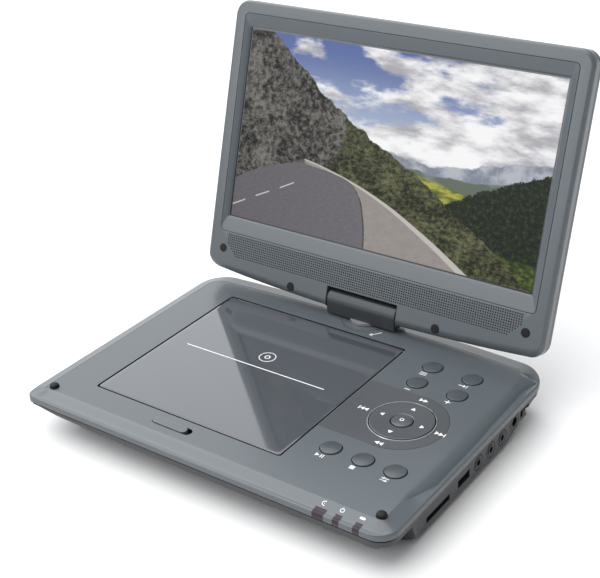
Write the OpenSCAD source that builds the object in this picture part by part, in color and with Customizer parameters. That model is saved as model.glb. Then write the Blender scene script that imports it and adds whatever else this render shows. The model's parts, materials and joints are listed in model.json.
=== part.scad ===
// Portable disc player: a flat base with a disc drive under a lid, and a screen on a swivel and tilt hinge.
// Frame: millimetres, +Z up, +X to the right, the front edge towards -Y, and the origin on the table
// under the middle of the opened player.

/* [Base] */
// Width of the base
base_w = 252; // [250:1:256]
// Height of the deck above the table
deck_z = 26; // [25.5:0.1:27]
// Height of the seam between the upper and the lower case
seam_z = 19.2; // [18.6:0.1:19.6]
// Wall of the upper and lower case
case_wall = 2; // [1.6:0.1:2.2]

/* [Disc drive] */
// Side-to-side size of the disc lid
lid_w = 134.1; // [130:0.1:136]
// Front-to-back size of the disc lid
lid_d = 129.9; // [128:0.1:131]
// Radius of the round well under the lid, for a 120 mm disc
well_r = 62; // [61:0.5:63]
// Travel of the pickup lens from the innermost to the outermost track
lens_travel = 35; // [33:0.5:35]

/* [Screen] */
// Width of the screen housing
screen_w = 249.4; // [246:0.2:252]
// Thickness of the screen housing
screen_t = 13.5; // [13:0.1:14]
// Width of the visible picture, 16 to 9
lcd_w = 222.7; // [216:0.1:224]
// How far the screen stands open, from closed
open_angle = 107.16; // [90:0.01:120]

/* [Controls] */
// Diameter of a round button
button_d = 12.8; // [12:0.1:13]
// Diameter of the ring of the direction pad
ring_d = 38.8; // [38:0.1:39.4]
// How far the buttons stand above the deck
button_rise = 0.9; // [0.5:0.1:1.2]

/* [Sockets] */
// Bore of the three round sound and picture sockets
jack_bore_d = 3.6; // [3.5:0.02:3.6]
// Opening of the supply socket
inlet_bore_d = 5.6; // [5.5:0.1:5.8]
// Centre pin of the supply socket
inlet_pin_d = 2; // [1.6:0.1:2.1]

/* [Hidden] */
$fn = 48;

half_w = base_w / 2;
gap = 0.4;              // visible gap round the lid
fine = 0.05;            // radial clearance of a running fit
over = 1;               // how far a cutting shape runs past the face that it cuts
deck_t = 2.6;
deck_under = deck_z - deck_t;

// Plan of the base
front_y = -117.7;
rear_y = 64.5;
rear_bow = 3.5;
front_corner_r = 12;
rear_corner_r = 19;

// Edges of the deck: creases where it starts to fall, and the height that it falls to
left_crease = 7;
left_rim_z = deck_z - 1.2;
front_crease = 9.5;
front_rim_z = deck_z - 2.7;
rear_crease_y = 57;
rear_rim_z = deck_z - 1;
gutter_top = 14;
gutter_line = 3;
gutter_z = deck_z - 3.3;

// Lower case
floor_z = 2;
lip = 1;
tub_slope = 12;
knee_z = 13.8;
port_x = half_w - 1.7;
port_y = [-86, 45];
port_in = 80;

// Lid and disc
lid_x = [41 - lid_w, 41];
lid_y = [39.3 - lid_d, 39.3];
lid_t = 2.5;
lid_barrel_r = lid_t / 2;
lid_axis = [0, lid_y[1] - lid_barrel_r, deck_z - lid_barrel_r];
lid_pin_r = 0.6;
spindle = [(lid_x[0] + lid_x[1]) / 2, (lid_y[0] + lid_y[1]) / 2];
well_wall = 1.5;
well_floor_z = 15.6;
ledge = 4;
ledge_t = 1.5;
hook_x = [-31, -23];

// Drive
chassis_z = 7;
chassis_t = 1;
rod_z = 11;
rod_r = 1.5;
rod_span = 25;
screw_span = 32;
sled_z = [8.6, 13.8];
lens_in = 23;
chassis_x = [spindle[0] - 36, spindle[0] + 33];
chassis_y = [-102, 4];
grommet_at = [for (x = [-42, -10], y = [-98, -5]) [x, y]];
grommet_z = chassis_z - 1.6;
grommet_t = 3.1;

// Screws and posts of the base
screw_at = [[-104, -99], [60, -101], [-104, 50], [-45, 51], [45, 51], [106, 51]];
boss_z = 14;
board_post_at = [[54, -52], [104, -52], [54, 38]];
main_post_at = [for (x = [54, 104], y = [-78, 38]) [x, y]];
foot_at = [for (x = [-92, 92], y = [-88, 42]) [x, y]];
foot_r = 6;
bumper_at = [[-114.4, -104.9], [114.4, -104.9]];
bumper_r = 3.3;
bumper_z = gutter_z - 0.1;

// Controls
button_r = button_d / 2;
menu_at = [65.9, 30];
source_at = [92.4, 30];
volume_down_at = [66.6, 10.6];
volume_up_at = [93.1, 10.6];
play_at = [60.55, -70.1];
stop_at = [81.2, -70.1];
setup_at = [101.2, -70.1];
dpad_at = [79.7, -28.25];
round_keys = [menu_at, source_at, volume_down_at, volume_up_at, play_at, stop_at, setup_at];
enter_r = 6.6;
ring_r = ring_d / 2;
rock_z = 20;            // height of the pivots that the pad leans fore and aft on
ring_rock_z = 21;       // and of the ribs that it leans left and right on
ring_z = 21.6;
board_z = 16.6;
board_t = 1.6;
board_top = board_z + board_t;
slider_at = [-27.2, -99.5];
slider_pill = [28, 6];
slider_knob = [24.6, 5.4];

// Windows in the front rim: centre and width of each
window_x = [84, 94.8, 106.9];
window_w = [7, 4, 4];
window_depth = 8.5;

// Sockets along the right side: places along Y and heights
card_c = [-65.65, 8.4];
usb_c = [-37.95, 10.5];
jack_y = [-21.8, -7.3, 6.1];
jack_z = 11;
inlet_c = [21.6, 12.9];
switch_c = [34.3, 13.2];
socket_x = 110.3;
main_z = 5.2;
main_t = 1.6;
main_top = main_z + main_t;

// Hinges
axis_y = 59.1;
axis_z = deck_z + 9.7;
pin_r = 2.5;
block_w = 51;
block_r = 7;
block_z = deck_z + 1;
collar_r = 10;
shaft_r = 5.7;
wire_r = 3.2;
plate_top = deck_under - 0.4;

// Screen housing, drawn upright: x across, z up from the tilt axis, and its face towards -y
face_y = -7;
back_y = face_y + screen_t;
seam_y = 1;
bezel_wall = 2;
back_wall = 1.6;
screen_top = 177.7;
screen_low = -1.5;
screen_bow = 4.8;
screen_top_r = 10;
screen_low_r = 10;
notch = [26, 7.7];
lcd_h = lcd_w * 9 / 16;
lcd_z = 35.7;
screen_hw = screen_w / 2;
cover_at = [[-112.2, 13.35], [-54.2, 0.3], [54.2, 0.3], [112.2, 13.35]];
cover_r = 3;
boss_r = 4;
speaker_x = 80;

body_grey = [0.42, 0.46, 0.49];
lid_grey = [0.34, 0.37, 0.4];
case_grey = [0.4, 0.39, 0.38];
key_grey = [0.37, 0.4, 0.43];
gunmetal = [0.3, 0.32, 0.33];
board_green = [0.1, 0.35, 0.2];
steel = [0.7, 0.71, 0.73];
black = [0.06, 0.06, 0.07];

// ---- Shared shapes ----

// A bar with round ends along X
module pill(size) {
    square([size[0] - size[1], size[1]], center = true);
    for (s = [-1, 1]) translate([s * (size[0] - size[1]) / 2, 0]) circle(size[1] / 2);
}

// A shallow curve that bows out by rise over a chord, standing on the chord's middle
module bow(chord, rise, steps = 20) {
    polygon([
        [chord / 2, -over], [-chord / 2, -over],
        for (i = [0:steps]) let (t = 2 * i / steps - 1) [t * chord / 2, rise * (1 - t * t)]
    ]);
}

// Plan of the base, drawn in by inset: small corners in front, larger ones and a bowed edge behind
module base_plan(inset = 0) {
    w = half_w - inset;
    rf = front_corner_r - inset;
    rr = rear_corner_r - inset;
    low = front_y + inset;
    high = rear_y - inset;
    translate([-w, low + rf]) square([2 * w, high - rr - low - rf]);
    translate([rf - w, low]) square([2 * (w - rf), rf + over]);
    translate([rr - w, high - rr - over]) square([2 * (w - rr), rr + over]);
    translate([0, high]) bow(2 * (w - rr), rear_bow);
    for (s = [-1, 1]) {
        translate([s * (w - rf), low + rf]) circle(rf);
        translate([s * (w - rr), high - rr]) circle(rr);
    }
}

// A cross-section in X and Z, drawn out along the whole depth
module across(points) {
    translate([0, 150, 0]) rotate([90, 0, 0]) linear_extrude(300) polygon(points);
}

// A cross-section in Y and Z, drawn out along X between two places
module along(points, x0 = -half_w - over, x1 = half_w + over) {
    translate([x0, 0, 0]) rotate([90, 0, 90]) linear_extrude(x1 - x0) polygon(points);
}

// A cylinder along X
module x_rod(r, x0, x1, y = 0, z = 0) {
    translate([x0, y, z]) rotate([0, 90, 0]) cylinder(h = x1 - x0, r = r);
}

// A cylinder along Y
module y_rod(r, y0, y1, x, z) {
    translate([x, y1, z]) rotate([90, 0, 0]) cylinder(h = y1 - y0, r = r);
}

// A block between two corners
module block(low, high) {
    translate(low) cube(high - low);
}

// ---- Base housings ----

// Outside of the upper case: a flat deck that falls to the rim in front, behind and at the sides,
// with a gutter along the right side
module upper_outside() {
    intersection() {
        translate([0, 0, seam_z]) linear_extrude(deck_z - seam_z) base_plan();
        across([
            [-half_w, seam_z], [-half_w, left_rim_z], [left_crease - half_w, deck_z],
            [half_w - gutter_top, deck_z], [half_w - gutter_line, gutter_z],
            [half_w, gutter_z + 0.6], [half_w, seam_z]
        ]);
        along([
            [front_y, seam_z], [front_y, front_rim_z], [front_y + front_crease, deck_z],
            [rear_crease_y, deck_z], [rear_y + rear_bow, rear_rim_z], [rear_y + rear_bow, seam_z]
        ]);
    }
}

module front_window(i, clearance = 0) {
    w = window_w[i] / 2 + clearance;
    block([window_x[i] - w, front_y - over, seam_z + 2.2 - clearance],
          [window_x[i] + w, front_y + window_depth + clearance, deck_z + over]);
}

module upper_case() color(body_grey) {
    difference() {
        union() {
            difference() {
                upper_outside();
                // low hollow inside the rim, and the high hollow under the flat deck
                translate([0, 0, seam_z - over]) linear_extrude(over + 1.3) base_plan(case_wall + 0.2);
                translate([0, 0, seam_z]) linear_extrude(deck_under - seam_z) intersection() {
                    base_plan(case_wall + 0.2);
                    translate([-half_w + left_crease, front_y + 11.5])
                        square([2 * half_w - left_crease - gutter_top - 2, rear_y - front_y - 11.5]);
                }
            }
            for (p = screw_at) translate([p[0], p[1], boss_z]) cylinder(h = deck_under - boss_z + 0.2, r = 3);
            for (p = board_post_at) translate([p[0], p[1], board_top])
                cylinder(h = deck_under - board_top + 0.2, r = 2.2);
        }
        // lid opening with its two hinge bores
        block([lid_x[0] - gap, lid_y[0] - gap, seam_z - over], [lid_x[1] + gap, lid_y[1] + gap, deck_z + over]);
        x_rod(lid_pin_r + fine, lid_x[0] - 3.6, lid_x[1] + 3.6, lid_axis[1], lid_axis[2]);
        for (p = screw_at) translate([p[0], p[1], boss_z - over]) cylinder(h = 8, r = 1.15);
        for (p = round_keys) translate([p[0], p[1], seam_z]) cylinder(h = 9, r = button_r + 0.3);
        translate([dpad_at[0], dpad_at[1], seam_z]) cylinder(h = 9, r = ring_r + 0.4);
        translate([slider_at[0], slider_at[1], seam_z]) linear_extrude(9) pill(slider_pill);
        // swivel: a hole for the shaft and a fine ring drawn round it
        translate([0, axis_y, seam_z]) cylinder(h = 9, r = shaft_r + 0.5);
        translate([0, axis_y, deck_z - 0.3]) rotate_extrude() translate([15.2, 0]) square([0.5, 2]);
        for (i = [0:2]) front_window(i, fine);
        // pockets that the two stops are pressed into
        for (p = bumper_at) translate([p[0], p[1], bumper_z]) cylinder(h = 9, r = bumper_r + 0.01);
    }
}

// The tub of the lower case, drawn in by inset all round
module tub(inset = 0) {
    step = 0.414 * inset;
    side = half_w - lip - inset;
    front = front_y + lip + inset;
    rear = rear_y + rear_bow - lip - inset;
    low = floor_z + inset;
    intersection() {
        translate([0, 0, low]) linear_extrude(seam_z - low + (inset > 0 ? over : 0)) base_plan(lip + inset);
        across([
            [-side + tub_slope - step, low], [-side, knee_z + step], [-side, seam_z + over],
            [side, seam_z + over], [side, knee_z + step], [side - tub_slope + step, low]
        ]);
        along([
            [front + tub_slope - step, low], [front, knee_z + step], [front, seam_z + over],
            [rear, seam_z + over], [rear, knee_z + step], [rear - tub_slope + step, low]
        ]);
    }
    block([port_in, port_y[0] + inset, low],
          [port_x - inset, port_y[1] - inset, seam_z + (inset > 0 ? over : 0)]);
}

// The openings of the sockets and the switch in the right wall
module port_openings() {
    x0 = port_x - case_wall - over;
    x1 = port_x + over;
    block([x0, card_c[0] - 12.3, card_c[1] - 1.65], [x1, card_c[0] + 12.3, card_c[1] + 1.55]);
    block([x0, usb_c[0] - 6.95, usb_c[1] - 3.2], [x1, usb_c[0] + 6.95, usb_c[1] + 3.2]);
    for (y = jack_y) x_rod(3.2, x0, x1, y, jack_z);
    x_rod(inlet_bore_d / 2 + 0.9, x0, x1, inlet_c[0], inlet_c[1]);
    block([x0, switch_c[0] - 5.3, switch_c[1] - 2.2], [x1, switch_c[0] + 5.3, switch_c[1] + 2.2]);
}

module lower_case() color(case_grey) {
    difference() {
        union() {
            difference() {
                tub();
                tub(case_wall);
            }
            for (p = screw_at) translate([p[0], p[1], floor_z + 1]) cylinder(h = boss_z - floor_z - 1, r = 4.2);
            for (p = grommet_at) translate([p[0], p[1], floor_z + 1])
                cylinder(h = grommet_z + grommet_t - 0.1 - floor_z - 1, r = 2);
            for (p = main_post_at) translate([p[0], p[1], floor_z + 1]) cylinder(h = main_z - floor_z - 1, r = 2.5);
        }
        for (p = screw_at) translate([p[0], p[1], floor_z - over]) {
            cylinder(h = 6, r = 3.1);
            cylinder(h = boss_z + over, r = 1.6);
        }
        port_openings();
    }
}

module rubber_feet() color(black)
    for (p = foot_at) translate([p[0], p[1], 0]) rotate_extrude()
        polygon([[0, 0], [foot_r - 0.5, 0], [foot_r, 0.5], [foot_r, floor_z], [0, floor_z]]);

// Domed stops that the closed screen rests on
module base_bumpers() color(black)
    for (p = bumper_at) translate([p[0], p[1], bumper_z]) intersection() {
        cylinder(h = deck_z + 2.3 - bumper_z, r = bumper_r);
        translate([0, 0, deck_z + 2.3 - bumper_z - 6]) sphere(6);
    }

module case_screws() color(steel)
    for (p = screw_at) translate([p[0], p[1], 5.2]) {
        cylinder(h = 1.8, r = 2.8);
        cylinder(h = 13.8, r = 1.1);
    }

// ---- Electronics in the base ----

module main_board() color(board_green)
    block([50, -83, main_z], [port_x - case_wall - 0.3, 42, main_top]);

module key_board() color(board_green) {
    block([50, -86, board_z], [109, 42, board_top]);
    block([80, front_y + 8, board_z], [109, -86 + over, board_top]);
}

// A small push switch under each round button, and flat domes under the direction pad
module tact_switches() color(steel) {
    for (p = round_keys) translate([p[0], p[1], board_top]) {
        translate([-3, -3, 0]) cube([6, 6, 1.6]);
        cylinder(h = 2.3, r = 1.5);
    }
    translate([dpad_at[0], dpad_at[1], board_top]) {
        cylinder(h = 0.4, r = 2.5);
        for (a = [0:90:270]) rotate(a) translate([13, 0, 0]) cylinder(h = 0.4, r = 2.5);
    }
}

module battery_pack() color([0.25, 0.35, 0.5])
    for (i = [0, 1]) translate([-108 + 21 * i, -60, 4.6]) cube([20.6, 80, 8]);

module ir_receiver() color(black)
    block([window_x[0] - 2.5, front_y + 9, board_top], [window_x[0] + 2.5, front_y + 13, board_top + 2.2]);

module indicator_leds() color([0.5, 0.8, 0.5])
    for (i = [1, 2]) translate([window_x[i], front_y + 11, board_top]) {
        cylinder(h = 1.2, r = 1.5);
        translate([0, 0, 1.2]) cylinder(h = 0.8, r1 = 1.5, r2 = 0.9);
    }

module window_lens(i) color([0.12, 0.08, 0.14])
    intersection() {
        upper_outside();
        front_window(i);
    }

module ir_window() window_lens(0);
module power_lens() window_lens(1);
module charge_lens() window_lens(2);

// ---- Disc drive ----

module disc_well() color(lid_grey) {
    x0 = lid_x[0] - gap - ledge;
    y0 = lid_y[0] - gap - ledge;
    difference() {
        union() {
            block([x0, y0, deck_under - ledge_t],
                  [lid_x[1] + gap + ledge, lid_y[1] + gap + ledge, deck_under]);
            translate([spindle[0], spindle[1], well_floor_z])
                cylinder(h = deck_under - well_floor_z, r = well_r + well_wall, $fn = 96);
        }
        translate([spindle[0], spindle[1], well_floor_z + well_wall])
            cylinder(h = 20, r = well_r, $fn = 96);
        // floor openings for the turntable and for the path of the pickup
        translate([spindle[0], spindle[1], well_floor_z - over]) cylinder(h = 5, r = 16);
        translate([spindle[0] - 22, spindle[1] - 59, well_floor_z - over]) cube([44, 59, 5]);
        translate([spindle[0] - 6, spindle[1] - 61, well_floor_z - over]) cube([12, 61, 5]);
        // slot for the lid's hook
        block([hook_x[0] - over, lid_y[0] - gap, deck_under - 5], [hook_x[1] + over, lid_y[0] + 2.8, deck_z]);
    }
}

module drive_chassis() color(steel) {
    top = chassis_z + chassis_t;
    difference() {
        union() {
            block([chassis_x[0], chassis_y[0], chassis_z], [chassis_x[1], chassis_y[1], top]);
            // upright tabs that hold the ends of the rods
            for (x = [-rod_span, rod_span], y = [-99, 1])
                translate([spindle[0] + x - 3, y - 1, top]) cube([6, 2, rod_z + 3 - top]);
            // tabs that hold the lead screw
            for (y = [-99, -1])
                translate([spindle[0] - screw_span - 2.5, y - 1, top]) cube([5, 2, rod_z + 2.5 - top]);
        }
        // window under the pickup
        block([spindle[0] - 20, -92, chassis_z - over], [spindle[0] + 20, -41, top + over]);
        for (p = grommet_at) translate([p[0], p[1], chassis_z - over]) cylinder(h = 4, r = 3.05);
        for (x = [-rod_span, rod_span]) y_rod(rod_r + fine, -110, 10, spindle[0] + x, rod_z);
        y_rod(rod_r + fine, -110, 10, spindle[0] - screw_span, rod_z);
    }
}

module chassis_grommets() color(black)
    for (p = grommet_at) translate([p[0], p[1], grommet_z]) rotate_extrude()
        polygon([
            [2 + fine, 0], [4.6, 0], [4.6, 1.6], [3, 1.6], [3, 1.6 + chassis_t],
            [4.6, 1.6 + chassis_t], [4.6, grommet_t], [2 + fine, grommet_t]
        ]);

module spindle_motor() color(steel)
    translate([spindle[0], spindle[1], chassis_z + chassis_t]) difference() {
        cylinder(h = 5.5, r = 12);
        translate([0, 0, 1]) cylinder(h = 6, r = 1 + fine);
    }

// The turntable with its hub and the motor's shaft
module turntable() color(black)
    translate([spindle[0], spindle[1], 0]) rotate_extrude()
        polygon([
            [0, 9.2], [1, 9.2], [1, 14.5], [9, 14.5], [14.5, 16.8], [14.5, 18.4], [7.4, 18.4],
            [7.4, 20.3], [6.2, 21.4], [0, 21.4]
        ]);

module pickup_sled() color([0.2, 0.2, 0.22]) {
    lens_y = spindle[1] - lens_in;
    far = lens_y - 13;
    near = lens_y + 9.5;
    difference() {
        union() {
            block([spindle[0] - 18, far, sled_z[0]], [spindle[0] + 18, near, sled_z[1]]);
            block([spindle[0] + 17, far + 2, sled_z[0]], [spindle[0] + rod_span + 3.5, near - 4, sled_z[1]]);
            block([spindle[0] - screw_span - 3.5, far + 2, sled_z[0]], [spindle[0] - 17, near - 4, sled_z[1]]);
            translate([spindle[0], lens_y, sled_z[1] - 0.2]) cylinder(h = 1.8, r = 5.5);
            translate([spindle[0], lens_y, sled_z[1] - 0.2]) cylinder(h = 2.8, r = 2.2);
        }
        for (x = [-rod_span, rod_span, -screw_span])
            y_rod(rod_r + fine, far - over, near + over, spindle[0] + x, rod_z);
    }
}

module guide_rods() color(steel)
    for (x = [-rod_span, rod_span]) y_rod(rod_r, -100.5, 2.5, spindle[0] + x, rod_z);

module lead_screw() color(steel)
    y_rod(rod_r, -100.5, 2, spindle[0] - screw_span, rod_z);

module feed_motor() color(steel)
    difference() {
        y_rod(3.1, 0.5, 14.5, spindle[0] - screw_span, rod_z + 0.3);
        y_rod(rod_r + fine, 0, 4, spindle[0] - screw_span, rod_z);
    }

module disc_lid() color(lid_grey) {
    corner = 3;
    difference() {
        union() {
            translate([0, 0, deck_z - lid_t]) linear_extrude(lid_t) difference() {
                translate([lid_x[0], lid_y[0]]) square([lid_w, lid_axis[1] - lid_y[0]]);
                // square off the two front corners, then round them
                for (x = lid_x) translate([x, lid_y[0]]) square(2 * corner, center = true);
            }
            for (i = [0, 1]) translate([lid_x[i] + (i == 0 ? corner : -corner), lid_y[0] + corner, deck_z - lid_t])
                cylinder(h = lid_t, r = corner);
            x_rod(lid_barrel_r, lid_x[0], lid_x[1], lid_axis[1], lid_axis[2]);
            // hook that the opening slider holds
            block([hook_x[0], lid_y[0] + 0.4, deck_z - 6.5], [hook_x[1], lid_y[0] + 2, deck_z - lid_t + 0.2]);
            block([hook_x[0], lid_y[0] + 0.4, deck_z - 6.5], [hook_x[1], lid_y[0] + 2.4, deck_z - 5.5]);
        }
        for (x = [lid_x[0] - over, lid_x[1] - 3])
            x_rod(lid_pin_r, x, x + 3 + over, lid_axis[1], lid_axis[2]);
    }
}

module lid_pins() color(steel) {
    x_rod(lid_pin_r, lid_x[0] - 3.2, lid_x[0] + 2.9, lid_axis[1], lid_axis[2]);
    x_rod(lid_pin_r, lid_x[1] - 2.9, lid_x[1] + 3.2, lid_axis[1], lid_axis[2]);
}

// ---- Controls ----

// A sliding knob in its pill-shaped opening, with the plate and the latch arm under the deck
module open_slider() color(key_grey)
    translate([slider_at[0] - 1.5, slider_at[1], 0]) {
        translate([0, 0, deck_under - 0.6]) linear_extrude(deck_t + 1) pill(slider_knob);
        translate([-16.5, -3.7, deck_under - 0.9]) cube([33, 7.4, 0.8]);
        translate([9, -3.7, deck_under - 3.4]) cube([3, 13, 1.6]);
        translate([9, -3.7, deck_under - 3.4]) cube([3, 3, 3]);
    }

// A round button: a low domed cap, a flange under the deck and a stem
module round_button(at) color(key_grey)
    translate([at[0], at[1], 0]) rotate_extrude()
        polygon([
            [0, 21.4], [2, 21.4], [2, deck_under - 1.1], [button_r + 1, deck_under - 1.1],
            [button_r + 1, deck_under - 0.1], [button_r, deck_under - 0.1],
            [button_r, deck_z + button_rise - 0.5], [button_r - 0.5, deck_z + button_rise],
            [button_r * 0.55, deck_z + button_rise + 0.3], [0, deck_z + button_rise + 0.4]
        ]);

module button_menu() round_button(menu_at);
module button_source() round_button(source_at);
module button_volume_down() round_button(volume_down_at);
module button_volume_up() round_button(volume_up_at);
module button_play() round_button(play_at);
module button_stop() round_button(stop_at);
module button_setup() round_button(setup_at);

// The rocker between the board and the ring: it leans fore and aft on two pivots, and two round ribs
// along Y carry the ring, which leans left and right
module dpad_rocker() color(black)
    translate([dpad_at[0], dpad_at[1], 0]) {
        rotate_extrude() translate([8, rock_z - 0.6]) square([9.5, 1.2]);
        for (s = [-1, 1]) {
            x_rod(0.6, min(s * 17.2, s * 18.6), max(s * 17.2, s * 18.6), 0, rock_z);
            y_rod(0.5, s * 12 - 1.5, s * 12 + 1.5, 0, ring_rock_z);
        }
    }

module dpad_ring() color(key_grey)
    translate([dpad_at[0], dpad_at[1], 0]) rotate_extrude($fn = 96)
        polygon([
            [enter_r + 0.5, ring_z], [ring_r + 1.1, ring_z], [ring_r + 1.1, ring_z + 0.6],
            [ring_r, ring_z + 0.6], [ring_r, deck_z + button_rise - 0.4],
            [ring_r - 0.4, deck_z + button_rise], [ring_r - 2.5, deck_z + button_rise],
            [enter_r + 4, deck_z + button_rise - 0.5], [enter_r + 0.9, deck_z + button_rise - 0.3],
            [enter_r + 0.5, deck_z + button_rise - 0.7]
        ]);

module button_enter() color(key_grey)
    translate([dpad_at[0], dpad_at[1], 0]) rotate_extrude()
        polygon([
            [0, 19.5], [3, 19.5], [3, 22.4], [enter_r, 22.4], [enter_r, deck_z + button_rise - 0.4],
            [enter_r - 0.4, deck_z + button_rise], [0, deck_z + button_rise + 0.3]
        ]);

// ---- Sockets and switch ----

module card_socket() color(steel)
    difference() {
        block([96, card_c[0] - 13.6, main_top], [port_x - 0.2, card_c[0] + 13.6, card_c[1] + 1.5]);
        block([98, card_c[0] - 12.05, card_c[1] - 1.25], [port_x + over, card_c[0] + 12.05, card_c[1] + 1.25]);
        // the shell outside the wall's opening stops behind the wall
        for (s = [-1, 1]) translate([port_x - case_wall - 0.1, card_c[0] + s * 14.2 - 2, main_top - over])
            cube([5, 4, 6]);
    }

module usb_socket() color(steel)
    difference() {
        block([socket_x, usb_c[0] - 6.7, usb_c[1] - 3], [port_x - 0.1, usb_c[0] + 6.7, usb_c[1] + 3]);
        block([socket_x + 1, usb_c[0] - 6.3, usb_c[1] - 2.6], [port_x + over, usb_c[0] + 6.3, usb_c[1] + 2.6]);
    }

module usb_tongue() color([0.93, 0.93, 0.91])
    block([socket_x + 1, usb_c[0] - 5.5, usb_c[1] + 0.2], [port_x - 1.2, usb_c[0] + 5.5, usb_c[1] + 2]);

module jack(y) color(black)
    difference() {
        union() {
            block([socket_x, y - 3.6, main_top], [port_x - case_wall - 0.1, y + 3.6, jack_z + 3.6]);
            x_rod(3.1, socket_x + 1, port_x + 0.2, y, jack_z);
        }
        x_rod(jack_bore_d / 2, socket_x + 1, port_x + over, y, jack_z);
    }

module headphone_jack() jack(jack_y[0]);
module av_output_jack() jack(jack_y[1]);
module av_input_jack() jack(jack_y[2]);

module dc_inlet() color(black) {
    difference() {
        union() {
            block([socket_x, inlet_c[0] - 4.5, main_top], [port_x - case_wall - 0.1, inlet_c[0] + 4.5, inlet_c[1] + 4.4]);
            x_rod(inlet_bore_d / 2 + 0.8, socket_x + 1, port_x - 0.1, inlet_c[0], inlet_c[1]);
        }
        x_rod(inlet_bore_d / 2, port_x - 10, port_x + over, inlet_c[0], inlet_c[1]);
    }
    x_rod(inlet_pin_d / 2, port_x - 10.5, port_x - 1.5, inlet_c[0], inlet_c[1]);
}

module power_switch() color(black)
    difference() {
        block([socket_x + 2, switch_c[0] - 5.6, main_top],
              [port_x - case_wall - 0.1, switch_c[0] + 5.6, switch_c[1] + 3.2]);
        block([port_x - case_wall - 2.5, switch_c[0] - 4.8, switch_c[1] - 1.6],
              [port_x, switch_c[0] + 4.8, switch_c[1] + 1.6]);
    }

// The sliding knob: a foot in the housing and a grooved grip just proud of the wall
module power_knob() color(black)
    difference() {
        block([port_x - 4.1, switch_c[0] - 3.4, switch_c[1] - 1.5],
              [port_x + 0.3, switch_c[0] + 0.2, switch_c[1] + 1.5]);
        for (i = [-1:1]) block([port_x - 0.2, switch_c[0] - 1.75 + 0.9 * i, switch_c[1] - 2],
                               [port_x + over, switch_c[0] - 1.45 + 0.9 * i, switch_c[1] + 2]);
    }

// ---- Swivel and tilt hinge ----

module swivel_block() color(gunmetal)
    translate([0, axis_y, 0]) difference() {
        union() {
            x_rod(block_r, -block_w / 2, block_w / 2, 0, axis_z);
            block([-block_w / 2, -block_r, block_z], [block_w / 2, block_r, axis_z]);
        }
        translate([0, 0, block_z - over]) cylinder(h = over + 1.05, r = collar_r + 0.05);
        translate([0, 0, block_z]) cylinder(h = 3.05, r = shaft_r + 0.02);
        translate([0, 0, block_z]) cylinder(h = axis_z - block_z, r = wire_r);
        x_rod(pin_r, -block_w / 2 - over, block_w / 2 + over, 0, axis_z);
    }

module swivel_shaft() color(steel)
    translate([0, axis_y, 0]) difference() {
        union() {
            translate([0, 0, 18]) cylinder(h = block_z + 3 - 18, r = shaft_r);
            translate([0, 0, deck_z + 0.25]) cylinder(h = block_z + 1 - deck_z - 0.25, r = collar_r);
        }
        translate([0, 0, 17]) cylinder(h = 20, r = wire_r);
        // groove for the retaining ring
        translate([0, 0, 19.6]) rotate_extrude() translate([5.2, 0]) square([2, 0.9]);
    }

module swivel_retainer() color(steel)
    translate([0, axis_y, 19.65]) difference() {
        cylinder(h = 0.8, r = 6.5);
        translate([0, 0, -over]) cylinder(h = 3, r = 5.22);
    }

// Steel plate screwed under the deck, in which the shaft turns
module swivel_plate() color(steel)
    difference() {
        block([-24, axis_y - 9, plate_top - 1.8], [24, axis_y + 4, plate_top]);
        translate([0, axis_y, 18]) cylinder(h = 9, r = shaft_r + fine);
    }

module tilt_pins() color(steel)
    for (s = [-1, 1]) translate([0, axis_y, axis_z]) {
        x_rod(pin_r - 0.01, min(s * 12, s * 38), max(s * 12, s * 38));
    }

// ---- Screen ----

// Puts a piece of the screen, drawn upright, in its place on the tilt axis
module on_hinge() translate([0, axis_y, axis_z]) rotate([90 - open_angle, 0, 0]) children();

// Front view of the housing, drawn in by inset: a bowed lower edge and a notch round the hinge block
module screen_plan(inset = 0) {
    w = screen_hw - inset;
    rt = screen_top_r - inset;
    rl = screen_low_r - inset;
    low = screen_low + inset;
    high = screen_top - inset;
    difference() {
        union() {
            translate([-w, low + rl]) square([2 * w, high - rt - low - rl]);
            translate([rt - w, high - rt - over]) square([2 * (w - rt), rt + over]);
            translate([rl - w, low]) square([2 * (w - rl), rl + over]);
            translate([0, low]) mirror([0, 1]) bow(2 * (w - rl), screen_bow);
            for (s = [-1, 1]) {
                translate([s * (w - rt), high - rt]) circle(rt);
                translate([s * (w - rl), low + rl]) circle(rl);
            }
        }
        translate([-notch[0] - inset, -20]) square([2 * (notch[0] + inset), 20 + notch[1] + inset]);
    }
}

// A slab of the housing's front view between two depths
module screen_slab(y0, y1, inset = 0) {
    translate([0, y1, 0]) rotate([90, 0, 0]) linear_extrude(y1 - y0) screen_plan(inset);
}

// The outer form: the slab with its long lower and upper edges bevelled
module screen_form() {
    bevel = 2.5;
    low = screen_low - screen_bow - over;
    intersection() {
        screen_slab(face_y, back_y);
        along([
            [face_y, 0.5], [face_y + bevel, low], [back_y - bevel, low], [back_y, 0.5],
            [back_y, screen_top - bevel], [back_y - bevel, screen_top + over],
            [face_y + 1, screen_top + over], [face_y, screen_top - 1]
        ]);
    }
}

// Holes for the hinge pins through the sides of the notch
module pin_holes() for (s = [-1, 1]) translate([s * (notch[0] + 1) - 3, 0, 0]) x_rod(pin_r + 0.5, 0, 6);

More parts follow.
